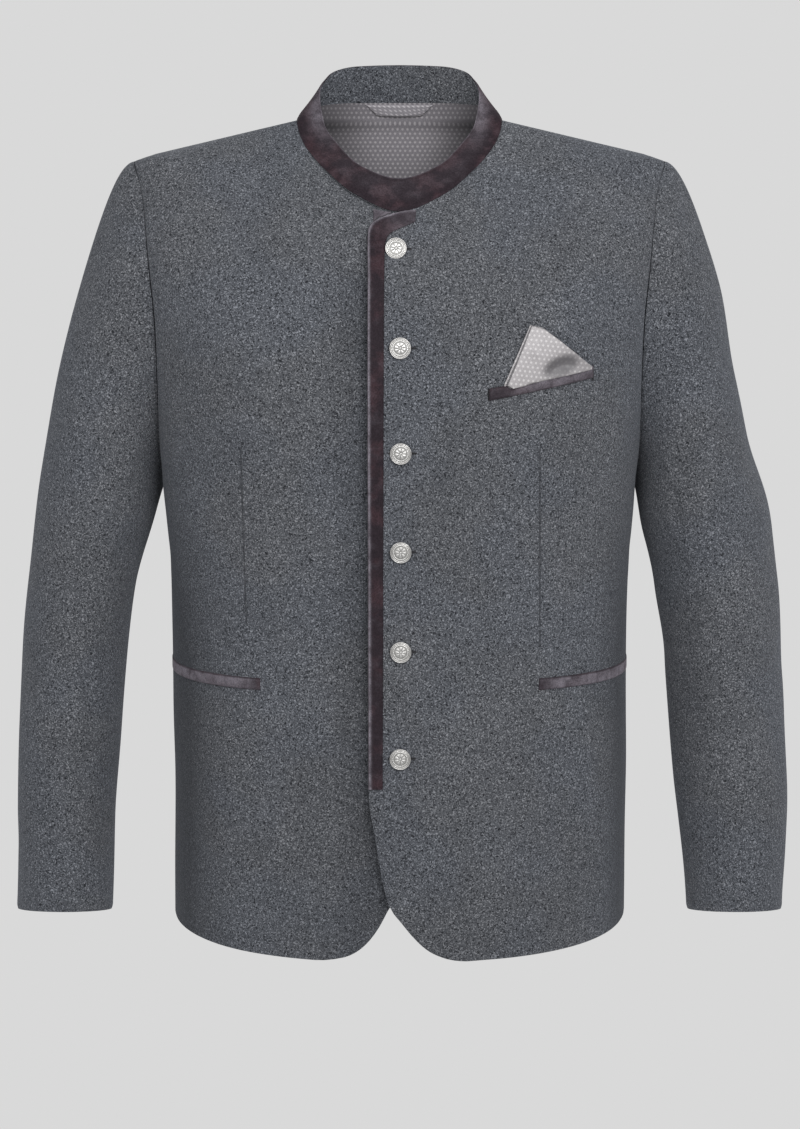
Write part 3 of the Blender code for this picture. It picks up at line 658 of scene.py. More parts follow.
def front_panel(edge, side):
    levels = stepped((-0.640, 0.0014), (-0.110, 0.0052), (-0.070, 0.0011), (-0.0012, 0.0024), (0.0, 0.0006))
    angles = []
    for z in levels:
        edge_x = neckline_x(z) if z > NECK_FRONT else smooth(edge["z"], edge["x"], z)
        if side > 0 and TRIM_BOTTOM < z < NECK_FRONT:
            edge_x = edge_x + BINDING_TUCK
        angles.append(row(angle_at_x(edge_x, z), angle_at_y(outer_y(z, True), z), z, 74))
    angles = np.array(angles)
    z = np.repeat(levels[:, None], angles.shape[1], axis=1)
    return finish_front(angles, z, side)


def back_panel(side, low=HEM, cols=64):
    levels = stepped((-0.660, 0.0022), (-0.040, 0.0052), (0.0, 0.0024), (NECK_BACK, 0.0012))
    levels = levels[levels >= low]
    angles = []
    for z in levels:
        end = angle_at_y(outer_y(z, False), z) if z < 0 else -angle_at_x(neckline_x(z), z, False)
        angles.append(row(-angle_at_x(-SEAM_TUCK, z, False), end, z, cols))
    angles = np.array(angles)
    z = np.repeat(levels[:, None], angles.shape[1], axis=1)
    points, normals = form(angles, z)
    x, y = points[..., 0], points[..., 1]
    free = ease(0.0, 0.020, x) * ease(0, 0.035, y - seam_y(z, False)) * ease(-0.010, -0.060, z)
    folds = BACK_LEFT_FOLDS if side > 0 else BACK_RIGHT_FOLDS
    rise = (folds_at(folds, x, z) + slow_waves(x, z, 4 + side)) * free
    return points + rise[..., None] * normals, normals


def armhole_roll(points):
    """How far a panel's outer edge rolls in: little at the shoulder, more by the armpit and below."""
    return 0.70 + 0.50 * ease(-0.06, -0.22, points[:, -1:, 2])


def mark_painted_shade(piece, side):
    """Stores painted shade on a front: darker towards the side seam, by the armpit, beside the upper front, and a
    little towards the hem.
    """
    place = np.empty(len(piece.data.vertices) * 3, np.float32)
    piece.data.vertices.foreach_get("co", place)
    x, y, z = place.reshape(-1, 3).T
    x = x * side
    reach = 0.064 if side < 0 else 0.040
    edge = ease(SIDE_SEAM_Y - 0.075 - reach, SIDE_SEAM_Y - 0.060, y) * ease(-0.30, -0.50, z)
    armpit = 0.5 * ease(-0.09, -0.02, y) * ease(-0.17, -0.28, z)
    beside = ease(0.070, 0.026, x) * ease(-0.10, -0.14, z) if side < 0 else 0
    low = 0.10 * ease(-0.44, -0.64, z)
    # Painted shade where the sleeves and the over front would shade the cloth, and towards the hem.
    mark(piece, "painted_shade", np.clip(edge * (1.35 if side < 0 else 0.95) + armpit + 0.40 * beside + low, 0, 1))


def mark_dart(piece, side):
    """Stores how far each point is from the dart's line, how far past its ends, and that it has one."""
    at = list(DARTS["side"]).index(side)
    top_x, top_z, bottom_x, bottom_z = (DARTS[name][at] for name in ("top_x", "top_z", "bottom_x", "bottom_z"))
    place = np.empty(len(piece.data.vertices) * 3, np.float32)
    piece.data.vertices.foreach_get("co", place)
    x, _, z = place.reshape(-1, 3).T
    line_x = bottom_x + (top_x - bottom_x) * (z - bottom_z) / (top_z - bottom_z)
    past = np.maximum(z - top_z, bottom_z - z)
    layer = piece.data.attributes.new("dart", "FLOAT_VECTOR", "POINT")
    layer.data.foreach_set("vector", np.stack([np.abs(x) - line_x, past, np.ones_like(x)], -1).ravel())


# --- Sleeves ------------------------------------------------------------------------------------------


def sleeve_ring(angle, z):
    turn = np.radians(angle)
    x, y, wide, deep, rise, drop = (
        smooth(SLEEVE["z"], SLEEVE[name], z) for name in ("x", "y", "wide", "deep", "rise", "drop")
    )
    out, fore = wide * np.cos(turn), deep * np.sin(turn)
    return np.stack([x + out, y - fore, z + rise * out + drop * fore], -1)


def sleeve_point(angle, along):
    """A sleeve point: along runs 0 to 1 from the armhole to the first ring, then to 2 at the cuff."""
    top, cuff = SLEEVE["z"][-1], SLEEVE["z"][0]
    y, z = armhole(angle)
    start, _ = form(angle_at_y(y, z), z)
    leave = unit(np.stack([
        smooth(LEAVE["angle"], LEAVE["out"], angle % 360),
        -smooth(LEAVE["angle"], LEAVE["forward"], angle % 360),
        -smooth(LEAVE["angle"], LEAVE["down"], angle % 360),
    ], -1))
    start = start - SEAM_TUCK * leave
    end = sleeve_ring(angle, np.full_like(angle, top))
    arrive = unit(sleeve_ring(angle, np.full_like(angle, top - 0.004)) - end)
    distance = np.linalg.norm(end - start, axis=-1, keepdims=True)
    t = np.clip(along, 0, 1)[..., None]
    crown = (
        (2 * t**3 - 3 * t**2 + 1) * start
        + (t**3 - 2 * t**2 + t) * leave * distance * LEAVE_PULL
        + (3 * t**2 - 2 * t**3) * end
        + (t**3 - t**2) * arrive * distance
    )
    tube = sleeve_ring(angle, top + (cuff - top) * np.clip(along - 1, 0, 1))
    return np.where(along[..., None] < 1, crown, tube)


def sleeve_grid(first, last, side):
    span = math.radians(last - first) * 0.05
    turns = first + np.degrees(spread(span, 64 if last - first > 180 else 44) / 0.05)
    crown = np.concatenate([[0, 0.002, 0.006, 0.012], np.linspace(0.022, 1, 56)])
    tube = np.concatenate([np.linspace(1, 1.99, 74)[1:], [1.996, 1.9985, 2]])
    angle, along = np.meshgrid(turns, np.concatenate([crown, tube]))
    points = sleeve_point(angle, along)
    small = 0.002
    round_way = sleeve_point(angle + 1, along) - sleeve_point(angle - 1, along)
    down_way = sleeve_point(angle, np.minimum(along + small, 2)) - sleeve_point(angle, np.maximum(along - small, 0))
    normals = unit(np.cross(round_way, down_way))
    table = LEFT_SLEEVE_FOLDS if side > 0 else RIGHT_SLEEVE_FOLDS
    reach = 0.05 * np.radians(angle)
    folds = {
        **{name: table[name] for name in ("bow", "wide", "high")},
        "x1": 0.05 * np.radians(table["turn1"]), "z1": table["z1"],
        "x2": 0.05 * np.radians(table["turn2"]), "z2": table["z2"],
    }
    folds = {name: folds[name] for name in FOLDS.split()}
    free = ease(0.0, 0.22, along)
    free = free * ease(0, 8, angle - first) * ease(0, 8, last - angle)
    rise = (folds_at(folds, reach, points[..., 2]) + slow_waves(reach, points[..., 2], 7 + side)) * free
    # Easing gathered into the sleeve head stands a little proud of the armhole seam.
    head = 0.0008 * ease(0.0, 0.12, along) * ease(0.40, 0.12, along) * ease(-80, -20, angle) * ease(80, 20, angle)
    return points + (rise + head)[..., None] * normals, normals


# --- Collar -----------------------------------------------------------------------------------------


def collar_edges(steps):
    """Lower and top edge of the collar by angle, shared out alike along their length."""
    fine = np.linspace(0, 180, 721)
    low = neckline(fine)
    top = np.stack([smooth(COLLAR_TOP["angle"], COLLAR_TOP[k], fine, k != "x") for k in "xyz"], -1)

    def shares(curve):
        length = np.concatenate([[0], np.cumsum(np.linalg.norm(np.diff(curve, axis=0), axis=1))])
        return length / length[-1]

    share = np.interp(steps, fine, shares(low))
    top = np.stack([np.interp(share, shares(top), top[:, k]) for k in range(3)], -1)
    low = neckline(steps)
    angle = angle_at_x(low[:, 0], low[:, 2], steps > 90)
    _, normals = form(np.where(steps > 90, angle, -angle), low[:, 2] - GAP)
    clear = COLLAR_CLEAR + OVER_LIFT * ease(110, 150, steps)
    low = low + clear[:, None] * normals
    return low - COLLAR_LAP * unit(top - low), top


def collar_grid(heights):
    """Points and outward normals of the collar's outer face, from the middle front all the way round."""
    steps = np.linspace(0, 180, 73)
    low, top = (np.concatenate([mirrored(edge[:0:-1], -1), edge]) for edge in collar_edges(steps))
    low[[0, -1], 0], top[[0, -1], 0] = 0, 0
    heights = heights[:, None, None]
    points = low + heights * (top - low)
    along = np.gradient(points, axis=1)
    along[:, [0, -1]] = np.array([-1, 0, 0])
    return points, unit(np.cross(np.broadcast_to(top - low, along.shape), along))


# --- Trims on the fronts ------------------------------------------------------------------------------


def binding_lines():
    """Outer and inner edge of the front binding as close points, from its neck end down."""
    corner = np.linspace(0, 1, 49)
    count = len(BINDING["x"])
    lines = []
    edges = (("x", "z", BINDING_TUCK - OVERLAP, 0.0006), ("inner_x", "inner_z", TRIM_INNER, -0.0014))
    for x_name, z_name, last_x, narrowing in edges:
        steps = np.arange(count, dtype=float)
        x = smooth(steps, BINDING[x_name], corner * (count - 1))
        z = smooth(steps, BINDING[z_name], corner * (count - 1))
        down = np.linspace(z[-1], TRIM_BOTTOM, 120)[1:]
        settle = ease(0, 0.03, z[-1] - down)
        last_x = last_x + narrowing * (z[-1] - down) / (z[-1] - TRIM_BOTTOM)
        lines.append(np.stack([
            np.concatenate([x, x[-1] + (last_x - x[-1]) * settle]), np.concatenate([z, down])], -1))
    return lines


def front_binding():
    """Velvet folded over the left front's edge: flat on top, round over the edge, and back below it."""
    near, far = binding_lines()
    flat = np.concatenate([[0, 0.04, 0.09], np.linspace(0.16, 1, 9)])[::-1]
    grid = far[:, None] * flat[None, :, None] + near[:, None] * (1 - flat[None, :, None])
    points, normals = front_surface(grid[..., 0], grid[..., 1], 1)
    edge, edge_normal = points[:, -1], normals[:, -1]
    outward = unit(edge - points[:, -2])
    radius = (OVER_LIFT + GAP + VELVET) / 2
    centre = edge + (2 * GAP + VELVET - radius) * edge_normal
    turns = np.linspace(0, math.pi, 9)[1:, None, None]
    wrap_normals = unit(np.cos(turns) * edge_normal + np.sin(turns) * outward)
    wrap = centre + radius * (np.cos(turns) * edge_normal + np.sin(turns) * outward)
    lift = 2 * GAP + VELVET - 0.0007 * (1 - ease(0, 0.0012, lengths_along(points, 1)))
    outer = np.concatenate([points + lift[..., None] * normals, wrap.transpose(1, 0, 2)], axis=1)
    thin = np.concatenate([lift - 2 * GAP, np.full((len(outer), len(turns)), VELVET * 0.8)], axis=1)
    outward_normals = np.concatenate([normals, wrap_normals.transpose(1, 0, 2)], axis=1)
    inner = outer - thin[..., None] * outward_normals
    across, down = lengths_along(outer, 1), lengths_along(outer, 0)
    piece = shell("placket_trim_velvet", (outer, inner, np.stack([across, down], -1)), sharp=75)
    # Painted highlight along the fold over the front's edge, stronger near the neck end, and the velvet paler towards
    # its neck end.
    from_fold = across - across[:, len(flat)][:, None]
    painted_light = np.exp(-((from_fold / 0.0014) ** 2)) * (0.95 + 0.3 * ease(0.06, 0.012, down))
    painted_light = painted_light + 0.22 * ease(0.040, 0.010, down)
    mark(piece, "painted_light_mark", np.tile(painted_light.ravel(), 2))
    declare_sheet(outer)
    return dress(piece, "velvet", "placket_trim")


def hip_welt(label, side):
    """The velvet welt above a hip pocket, running out to the side seam."""
    z = HIP_WELT_TOP - WELT_HEIGHT * np.linspace(0, 1, 15)[:, None]
    first = angle_at_x(np.full_like(z, HIP_WELT_FROM), z)
    last = angle_at_y(np.full_like(z, SIDE_SEAM_Y - 0.012), z)
    share = np.concatenate([[0, 0.004, 0.01], np.linspace(0.02, 0.98, 50), [0.99, 0.996, 1]])[None, :]
    place = finish_front(first + (last - first) * share, np.broadcast_to(z, (15, share.size)), side)
    crown = (VELVET + 0.0006) * (1 - 0.75 * ease(0.30, 0.80, share))
    piece = strip(f"hip_welt_{label}_velvet", place, 0.0001, crown, "velvet", f"hip_welt_{label}",
                  side)
    # Painted light: paler painted sheen towards the side where the welt turns away, darker at its inner end, and a
    # painted shadow line along its top edge.
    top_edge = ease(HIP_WELT_TOP - 0.0016, HIP_WELT_TOP - 0.0004, z)
    painted_light = (0.60 + 0.50 * ease(0.25, 0.8, share)) * (0.25 + 0.75 * ease(0, 0.07, share)) * (1 - 0.8 * top_edge)
    mark(piece, "painted_light_mark", np.tile(painted_light.ravel(), 2))


def breast_welt():
    along = np.concatenate([[0, 0.006, 0.013], np.linspace(0.025, 0.975, 40), [0.987, 0.994, 1]])[None, :]
    up = np.linspace(0, 1, 13)[:, None]
    x = WELT_INNER[0] + (WELT_OUTER[0] - WELT_INNER[0]) * along + 0 * up
    z = WELT_INNER[1] + (WELT_OUTER[1] - WELT_INNER[1]) * along + WELT_HEIGHT * up
    piece = strip("breast_welt_velvet", front_surface(x, z, 1), 2 * GAP, VELVET + LODEN * 0.6, "velvet",
                  "breast_welt", ends=0.0016)
    # Painted sheen, paler towards the outer end and the top edge of the welt.
    painted_light = 0.09 + (0.32 + 0.20 * up) * ease(0.08, 0.45, along)
    mark(piece, "painted_light_mark", np.tile(painted_light.ravel(), 2))


def neck_binding():
    """The sliver of the right front's velvet that its own cut corner shows below the collar."""
    across, up = np.linspace(0, 1, 25)[None, :], np.linspace(0, 1, 9)[:, None]
    x = UNDER_BINDING["x"][0] + (UNDER_BINDING["x"][-1] - UNDER_BINDING["x"][0]) * across + 0 * up
    top = np.interp(x, UNDER_BINDING["x"], UNDER_BINDING["top"])
    bottom = np.interp(x, UNDER_BINDING["x"], UNDER_BINDING["bottom"])
    piece = strip("neck_binding_velvet", front_surface(x, bottom + (top - bottom) * up, -1), GAP, VELVET,
                  "velvet", "neck_binding", -1)
    # Painted sheen over the whole sliver.
    mark(piece, "painted_light_mark", np.full(2 * x.size, 0.62))


def pocket_square():
    """Three plies of the folded square, standing a little off the front behind the welt."""
    along = np.unique(np.concatenate([np.linspace(0, 4, 81), [0.02, 0.06, 3.94, 3.98]]))[None, :]
    up = np.concatenate([np.linspace(0, 0.94, 32), [0.97, 0.99, 1]])[:, None]
    plies = (("front", "pocket_square", 0.0068, 0.0030, 0.0010),
             ("middle", "", 0.0042, 0.0017, 0.0005),
             ("back", "", 0.0, 0.0004, 0.0))
    for label, node, tuck, off, drop in plies:
        line = {name: np.interp(along, SQUARE["along"], SQUARE[name]) for name in SQUARE}
        moved = tuck * ease(1.6, 0.3, along) * (1 - 0.75 * up)
        x = line["bottom_x"] * (1 - up) + line["top_x"] * up + moved
        z = (line["bottom_z"] - 0.003) * (1 - up) + (line["top_z"] - drop) * up
        points, normals = front_surface(x, z, 1)
        swell = 0.0030 * np.sin(math.pi * up / 2) * np.sin(math.pi * along / 4) + folds_at(SQUARE_FOLDS, x, z)
        curl = 0.0011 * (label != "back") * ease(0.5, 0.0, along)
        place = points + (swell + curl)[..., None] * normals, normals
        flat = np.stack([x * math.cos(SQUARE_TURN) - z * math.sin(SQUARE_TURN),
                         x * math.sin(SQUARE_TURN) + z * math.cos(SQUARE_TURN)], -1)
        piece = strip(f"pocket_square_{label}_ply", place, off + 2 * GAP, 0.0008, "square", node,
                      ends=0.0006, uv=flat)
        # Painted shade in the dent above the welt, darker towards the square's outer end, and the middle ply painted
        # dark as the shadow between the plies.
        round_dent = ((x - 0.1290) / 0.0138) ** 2 + ((z + 0.1965 - 0.25 * (x - 0.1290)) / 0.0088) ** 2
        shaded = np.exp(-(round_dent**3)) + 0.30 * ease(0.128, 0.150, x)
        if label == "middle":
            shaded = shaded + 1.0
        mark(piece, "under", np.tile(np.clip(shaded, 0, 1).ravel(), 2))


def lean_in(points):
    """The lining's way off the back: it hangs in a slope from the collar seam."""
    z = points[..., 2]
    hung = LINING_TOP_Y + LINING_SLOPE * (NECK_BACK - z)
    return points - np.maximum(section(z)[2] - hung, 0)[..., None] * np.array([0, 1, 0])


def hanger_loop():
    """A flat strip of lining cloth below the collar seam, a little off the lining."""
    across, down = np.linspace(-1, 1, 49)[None, :], np.linspace(0, 1, 10)[:, None]
    x = across * (LOOP_HALF_WIDTH - LOOP_TAPER * down)
    z = LOOP_TOP - LOOP_DROP * down - 0.0008 * (1 - across**2) * down
    points, normals = form(-angle_at_x(np.abs(x), z, False), z)
    points = lean_in(points)
    off = LODEN + LINING + 3 * GAP + 0.0014 * down * (1 - across**4) + 0 * x
    turn = np.stack([np.where(x < 0, -1, 1), np.ones_like(x), np.ones_like(x)], -1)
    strip("hanger_loop_cloth", (points * turn, -normals * turn), off, LINING, "lining", "hanger_loop",
          ends=0.0006)


def stitching():
    """Corded buttonholes beside the buttons, and the tacks that hold the ends of the breast welt."""
    runs = [(x - 0.010, z, x + 0.0130, z, 0.0011) for x, z in zip(BUTTONS["x"], BUTTONS["z"])]
    end_x, end_z = WELT_OUTER
    runs.append((end_x + 0.0006, end_z - 0.0026, end_x + 0.0006, end_z + WELT_HEIGHT + 0.0002, 0.0008))
    runs.append((WELT_INNER[0] - 0.0006, WELT_INNER[1], WELT_INNER[0] - 0.0006, WELT_INNER[1] + WELT_HEIGHT,
                 0.0006))
    along, aside = np.linspace(0, 1, 60)[:, None], np.linspace(-1, 1, 9)[None, :]
    layers = []
    for x1, z1, x2, z2, half in runs:
        long = math.hypot(x2 - x1, z2 - z1)
        away = np.array([z1 - z2, x2 - x1]) / long
        wide = half * np.sqrt(np.clip(1 - np.abs(2 * along - 1) ** 24, 0.02, 1)) * aside
        x, z = x1 + (x2 - x1) * along + away[0] * wide, z1 + (z2 - z1) * along + away[1] * wide
        points, normals = front_surface(x, z, 1)
        cord = 0.0005 * np.sqrt(np.clip(1 - (2 * np.abs(aside) - 1) ** 2, 0.02, 1))
        cord = cord * (0.8 + 0.2 * np.cos(along * long * 2 * math.pi / 0.0007))
        uv = np.stack([aside * half + 0 * along, along * long + 0 * aside], -1)
        layers.append((points + (0.0001 + cord)[..., None] * normals, points - 0.0004 * normals, uv))
    dress(shell("buttonhole_stitching", *layers, sharp=80), "thread")


# --- Buttons ------------------------------------------------------------------------------------------


def ridge(radius, at, half, high):
    return high * np.sqrt(np.maximum(1 - ((radius - at) / half) ** 2, 0))


def button_relief(radius, turn):
    """Height of the pattern on a button's face: two rims, a rope ring, and an eight-leaf rosette."""
    rope = 0.65 + 0.35 * np.cos(26 * turn + 3200 * (radius - 0.0060))
    leaves = np.abs(np.cos(4 * turn)) ** 0.7 * ridge(radius, 0.0029, 0.0018, 0.0003)
    return (
        ridge(radius, 0.00830, 0.00050, 0.0008)
        + ridge(radius, 0.00725, 0.00045, 0.0004)
        + ridge(radius, 0.0060, 0.0006, 0.00035) * rope
        + np.maximum(leaves, ridge(radius, 0, 0.0009, 0.0004))
    )


def buttons():
    """Six pressed metal buttons on short shanks, in one piece."""
    turn = np.linspace(0, 2 * math.pi, 97)[:-1]
    radii = np.linspace(0.0003, 0.00876, 52)[:, None]
    relief = button_relief(radii, turn[None, :])
    face = 0.0030 + 0.0006 * (1 - (radii / 0.0088) ** 2) + relief
    back = np.array([(0.00885, 0.0027), (0.0081, 0.0020), (0.0030, 0.0019), (0.0030, 0.0002)])
    radius = np.concatenate([radii, back[:, :1]])
    height = np.concatenate([face, np.repeat(back[:, 1:], len(turn), axis=1)])
    shine = np.concatenate([np.clip(relief / 0.0003, 0, 1), np.full((len(back), len(turn)), 0.4)])
    rows, cols = height.shape
    at = np.arange(rows * cols).reshape(rows, cols)
    after = np.roll(at, -1, axis=1)
    sides = np.stack([at[1:], after[1:], after[:-1], at[:-1]], -1).reshape(-1, 4).tolist()
    one = sides + [at[0].tolist(), at[-1, ::-1].tolist()]
    verts, faces = [], []
    for x, z, spin in zip(BUTTONS["x"], BUTTONS["z"], (0.1, 0.5, 0.25, 0.7, 0.0, 0.4)):
        base, normal = (a[0] for a in front_surface([x], [z], 1))
        normal = unit(normal * np.array([1, 1, 0.35]))
        side = unit(np.cross([0.0, 0.0, 1.0], normal))
        up = np.cross(normal, side)
        cos, sin = np.cos(turn + spin)[None, :, None], np.sin(turn + spin)[None, :, None]
        ring = radius[..., None] * (cos * side + sin * up)
        start = len(verts) * rows * cols
        verts.append((base + ring + height[..., None] * normal).reshape(-1, 3))
        faces += [[k + start for k in face] for face in one]
    piece = mesh_of("buttons_metal", np.concatenate(verts).tolist(), faces, sharp=50)
    mark(piece, "relief", np.tile(shine.ravel(), len(verts)))
    dress(piece, "metal", *(f"button_{k + 1}" for k in range(len(verts))))


# --- Collar and lining ------------------------------------------------------------------------------


def collar():
    heights = np.concatenate([[0, 0.014, 0.035, 0.07], np.linspace(0.13, 0.9, 14), [0.94, 0.97, 0.988, 1]])
    points, normals = collar_grid(heights)
    angle = np.linspace(-180, 180, points.shape[1])[None, :]
    piece = cloth("stand_collar_velvet", points, normals, VELVET, "velvet", "collar_velvet",
                  rolls=(0, 0, 0.6, 0.7))
    # Painted sheen on the sides where the collar turns away, a painted highlight along the top edge, and paler over the
    # middle than along the lower edge.
    sides = np.exp(-(((np.abs(angle) - 98) / 20) ** 2)) * ease(0.3, 0.95, heights)[:, None]
    band = 0.06 * (ease(0.08, 0.45, heights) * ease(1.1, 0.75, heights))[:, None]
    rim = 0.34 * ease(0.955, 0.99, heights)[:, None]
    mark(piece, "painted_light_mark", np.tile(np.clip(0.62 * sides + band + rim, 0, 1).ravel(), 2))
    inside = points - (VELVET + GAP) * normals
    cloth("stand_collar_inner_loden", inside, normals, LINING, "loden", "collar_facing",
          rolls=(0, 0, 0, 0.5))


def neck_lining():
    """The lining inside the upper back: the cloth of both back panels, moved in."""
    (left, left_normals), (right, right_normals) = (back_panel(side, LINING_DEPTH) for side in (1, -1))
    points = np.concatenate([mirrored(right[:, :0:-1], -1), left[:, 1:]], axis=1)
    normals = np.concatenate([mirrored(right_normals[:, :0:-1], -1), left_normals[:, 1:]], axis=1)
    across = lengths_along(points, 1)
    across = across - across[:, left.shape[1] - 1][:, None]
    uv = np.stack([across, points[..., 2]], -1)
    z = points[..., 2]
    points = lean_in(points)
    piece = cloth("neck_lining", points - (LODEN + GAP) * normals, normals, LINING, "lining", "back_lining",
                  rolls=(0, 0, 0, 0), uv=uv)
    # Painted shade: darker towards the sides, along the top below the collar seam, and lower down, where the collar
    # would shade the lining.
    shaded = 0.6 * ease(0.015, 0.065, np.abs(points[..., 0])) + 0.25 * ease(-0.016, 0.0, z)
    shaded = shaded + 0.3 * ease(-0.05, -0.11, z)
    mark(piece, "under", np.tile(np.clip(shaded, 0, 1).ravel(), 2))


# --- Finishes -----------------------------------------------------------------------------------------


def add(tree, kind, inputs=None, **choices):
    """A node with its choices and inputs: a socket is linked, and any other value is set."""
    made = tree.nodes.new("ShaderNode" + kind)
    for name, value in choices.items():
        setattr(made, name, value)
    for name, value in (inputs or {}).items():
        if isinstance(value, bpy.types.NodeSocket):
            tree.links.new(value, made.inputs[name])
        else:
            made.inputs[name].default_value = value
    return made


def maths(tree, operation, a, b=0.0):
    return add(tree, "Math", {0: a, 1: b}, operation=operation).outputs[0]


def remap(tree, value, low, high, to_low=0.0, to_high=1.0):
    """Turns low to high of a value into to_low to to_high, smoothly."""
    inputs = {"Value": value, "From Min": low, "From Max": high, "To Min": to_low, "To Max": to_high}
    return add(tree, "MapRange", inputs, interpolation_type="SMOOTHSTEP").outputs["Result"]


def tint(tree, factor, a, b, blend_type="MIX"):
    inputs = {"Factor": factor, 6: a, 7: b}
    return add(tree, "Mix", inputs, data_type="RGBA", blend_type=blend_type).outputs[2]


def noise(tree, where, scale, detail=2.0, roughness=0.5, output="Factor"):
    inputs = {"Vector": where, "Scale": scale, "Detail": detail, "Roughness": roughness}
    found = add(tree, "TexNoise", inputs, noise_dimensions="3D").outputs
    return found[0 if output == "Factor" else 1]


def marked(tree, name):
    return add(tree, "Attribute", attribute_name=name).outputs["Fac"]


def group(name, inputs, outputs):
    """A new node group with its inputs and outputs: its tree, its input sockets, and its end node."""
    tree = bpy.data.node_groups.new(name, "ShaderNodeTree")
    for direction, sockets in (("INPUT", inputs), ("OUTPUT", outputs)):
        for label, kind in sockets.items():
            tree.interface.new_socket(label, in_out=direction, socket_type="NodeSocket" + kind)
    start, end = tree.nodes.new("NodeGroupInput"), tree.nodes.new("NodeGroupOutput")
    return tree, start.outputs, lambda label, value: tree.links.new(value, end.inputs[label])


def placed(tree, name, inputs):
    """One of the shared groups in a finish, with its own values."""
    made = tree.nodes.new("ShaderNodeGroup")
    made.node_tree = bpy.data.node_groups.get(name) or GROUPS[name](name)
    for label, value in inputs.items():
        if isinstance(value, bpy.types.NodeSocket):
            tree.links.new(value, made.inputs[label])
        else:
            made.inputs[label].default_value = value
    return made.outputs


def fleck_group(name):
    """Mottled wool: pale and dark fibres felted into a ground, with slow cloudy change."""
    tree, taken, give = group(
        name,
        {"Ground": "Color", "Pale": "Color", "Dark": "Color", "Fleck Size": "Float", "Amount": "Float"},
        {"Color": "Color", "Height": "Float"},
    )
    where = add(tree, "TexCoord").outputs["Object"]
    bent = noise(tree, where, 420.0, 1.0, output="Color")
    bent = add(tree, "VectorMath", {0: bent, 1: (0.5, 0.5, 0.5)}, operation="SUBTRACT").outputs[0]
    bent = add(tree, "VectorMath", {0: bent, "Scale": 0.0030}, operation="SCALE").outputs[0]
    where = add(tree, "VectorMath", {0: where, 1: bent}, operation="ADD").outputs[0]
    close = maths(tree, "DIVIDE", 1.0, taken["Fleck Size"])
    apart = add(tree, "VectorMath", {0: where, 1: (1.7, 2.3, 0.9)}, operation="ADD").outputs[0]
    fibres = noise(tree, where, close, 2.0, 0.62)
    shadows = noise(tree, apart, maths(tree, "MULTIPLY", close, 0.8), 2.0, 0.6)
    fuzz = noise(tree, apart, maths(tree, "MULTIPLY", close, 3.1), 1.0)
    cloud = noise(tree, where, 14.0, 3.0, 0.55)
    pale = maths(tree, "MULTIPLY", remap(tree, fibres, 0.50, 0.68), taken["Amount"])
    dark = maths(tree, "MULTIPLY", remap(tree, shadows, 0.48, 0.63), taken["Amount"])
    color = tint(tree, dark, taken["Ground"], taken["Dark"])
    color = tint(tree, pale, color, taken["Pale"])
    shade = maths(tree, "MULTIPLY", remap(tree, cloud, 0.3, 0.7, 0.94, 1.06), remap(tree, fuzz, 0.25, 0.75, 0.88, 1.12))
    lit = add(tree, "VectorMath", {0: color, "Scale": shade}, operation="SCALE").outputs[0]
    hue = remap(tree, noise(tree, apart, 11.0, 2.0), 0.40, 0.60)
    hue = tint(tree, hue, (1.008, 1.0, 0.990, 1), (0.982, 0.995, 1.018, 1))
    give("Color", add(tree, "VectorMath", {0: lit, 1: hue}, operation="MULTIPLY").outputs[0])
    give("Height", maths(tree, "ADD", fibres, maths(tree, "MULTIPLY", fuzz, 0.5)))
    return tree


def pile_group(name):
    """Velvet pile: mottled where it was stroked both ways, and paler where painted sheen is marked."""
    tree, taken, give = group(
        name,
        {"Ground": "Color", "Warm": "Color", "Brushed Color": "Color", "Painted_Sheen": "Float"},
        {"Color": "Color", "Height": "Float"},
    )
    where = add(tree, "TexCoord").outputs["Object"]
    patches = noise(tree, where, 95.0, 3.0, 0.6)
    pile = noise(tree, where, 900.0, 2.0, 0.6)
    # Painted sheen, broken up by the patches, plus the pile's own random mottling.
    patchy_sheen = maths(tree, "MULTIPLY", taken["Painted_Sheen"], remap(tree, patches, 0.3, 0.62, 0.45, 1.1))
    sheen_and_mottle = maths(tree, "ADD", patchy_sheen, remap(tree, patches, 0.48, 0.72, 0.0, 0.07))
    warm = remap(tree, noise(tree, where, 48.0, 3.0, 0.6), 0.44, 0.66, 0.0, 0.8)
    warm = maths(tree, "MULTIPLY", warm, maths(tree, "SUBTRACT", 1.0, taken["Painted_Sheen"]))
    color = tint(tree, sheen_and_mottle, tint(tree, warm, taken["Ground"], taken["Warm"]), taken["Brushed Color"])
    grain = remap(tree, pile, 0.3, 0.7, 0.74, 1.28)
    lit = add(tree, "VectorMath", {0: color, "Scale": grain}, operation="SCALE").outputs[0]
    give("Color", lit)
    give("Height", maths(tree, "ADD", pile, maths(tree, "MULTIPLY", patches, 0.6)))
    return tree


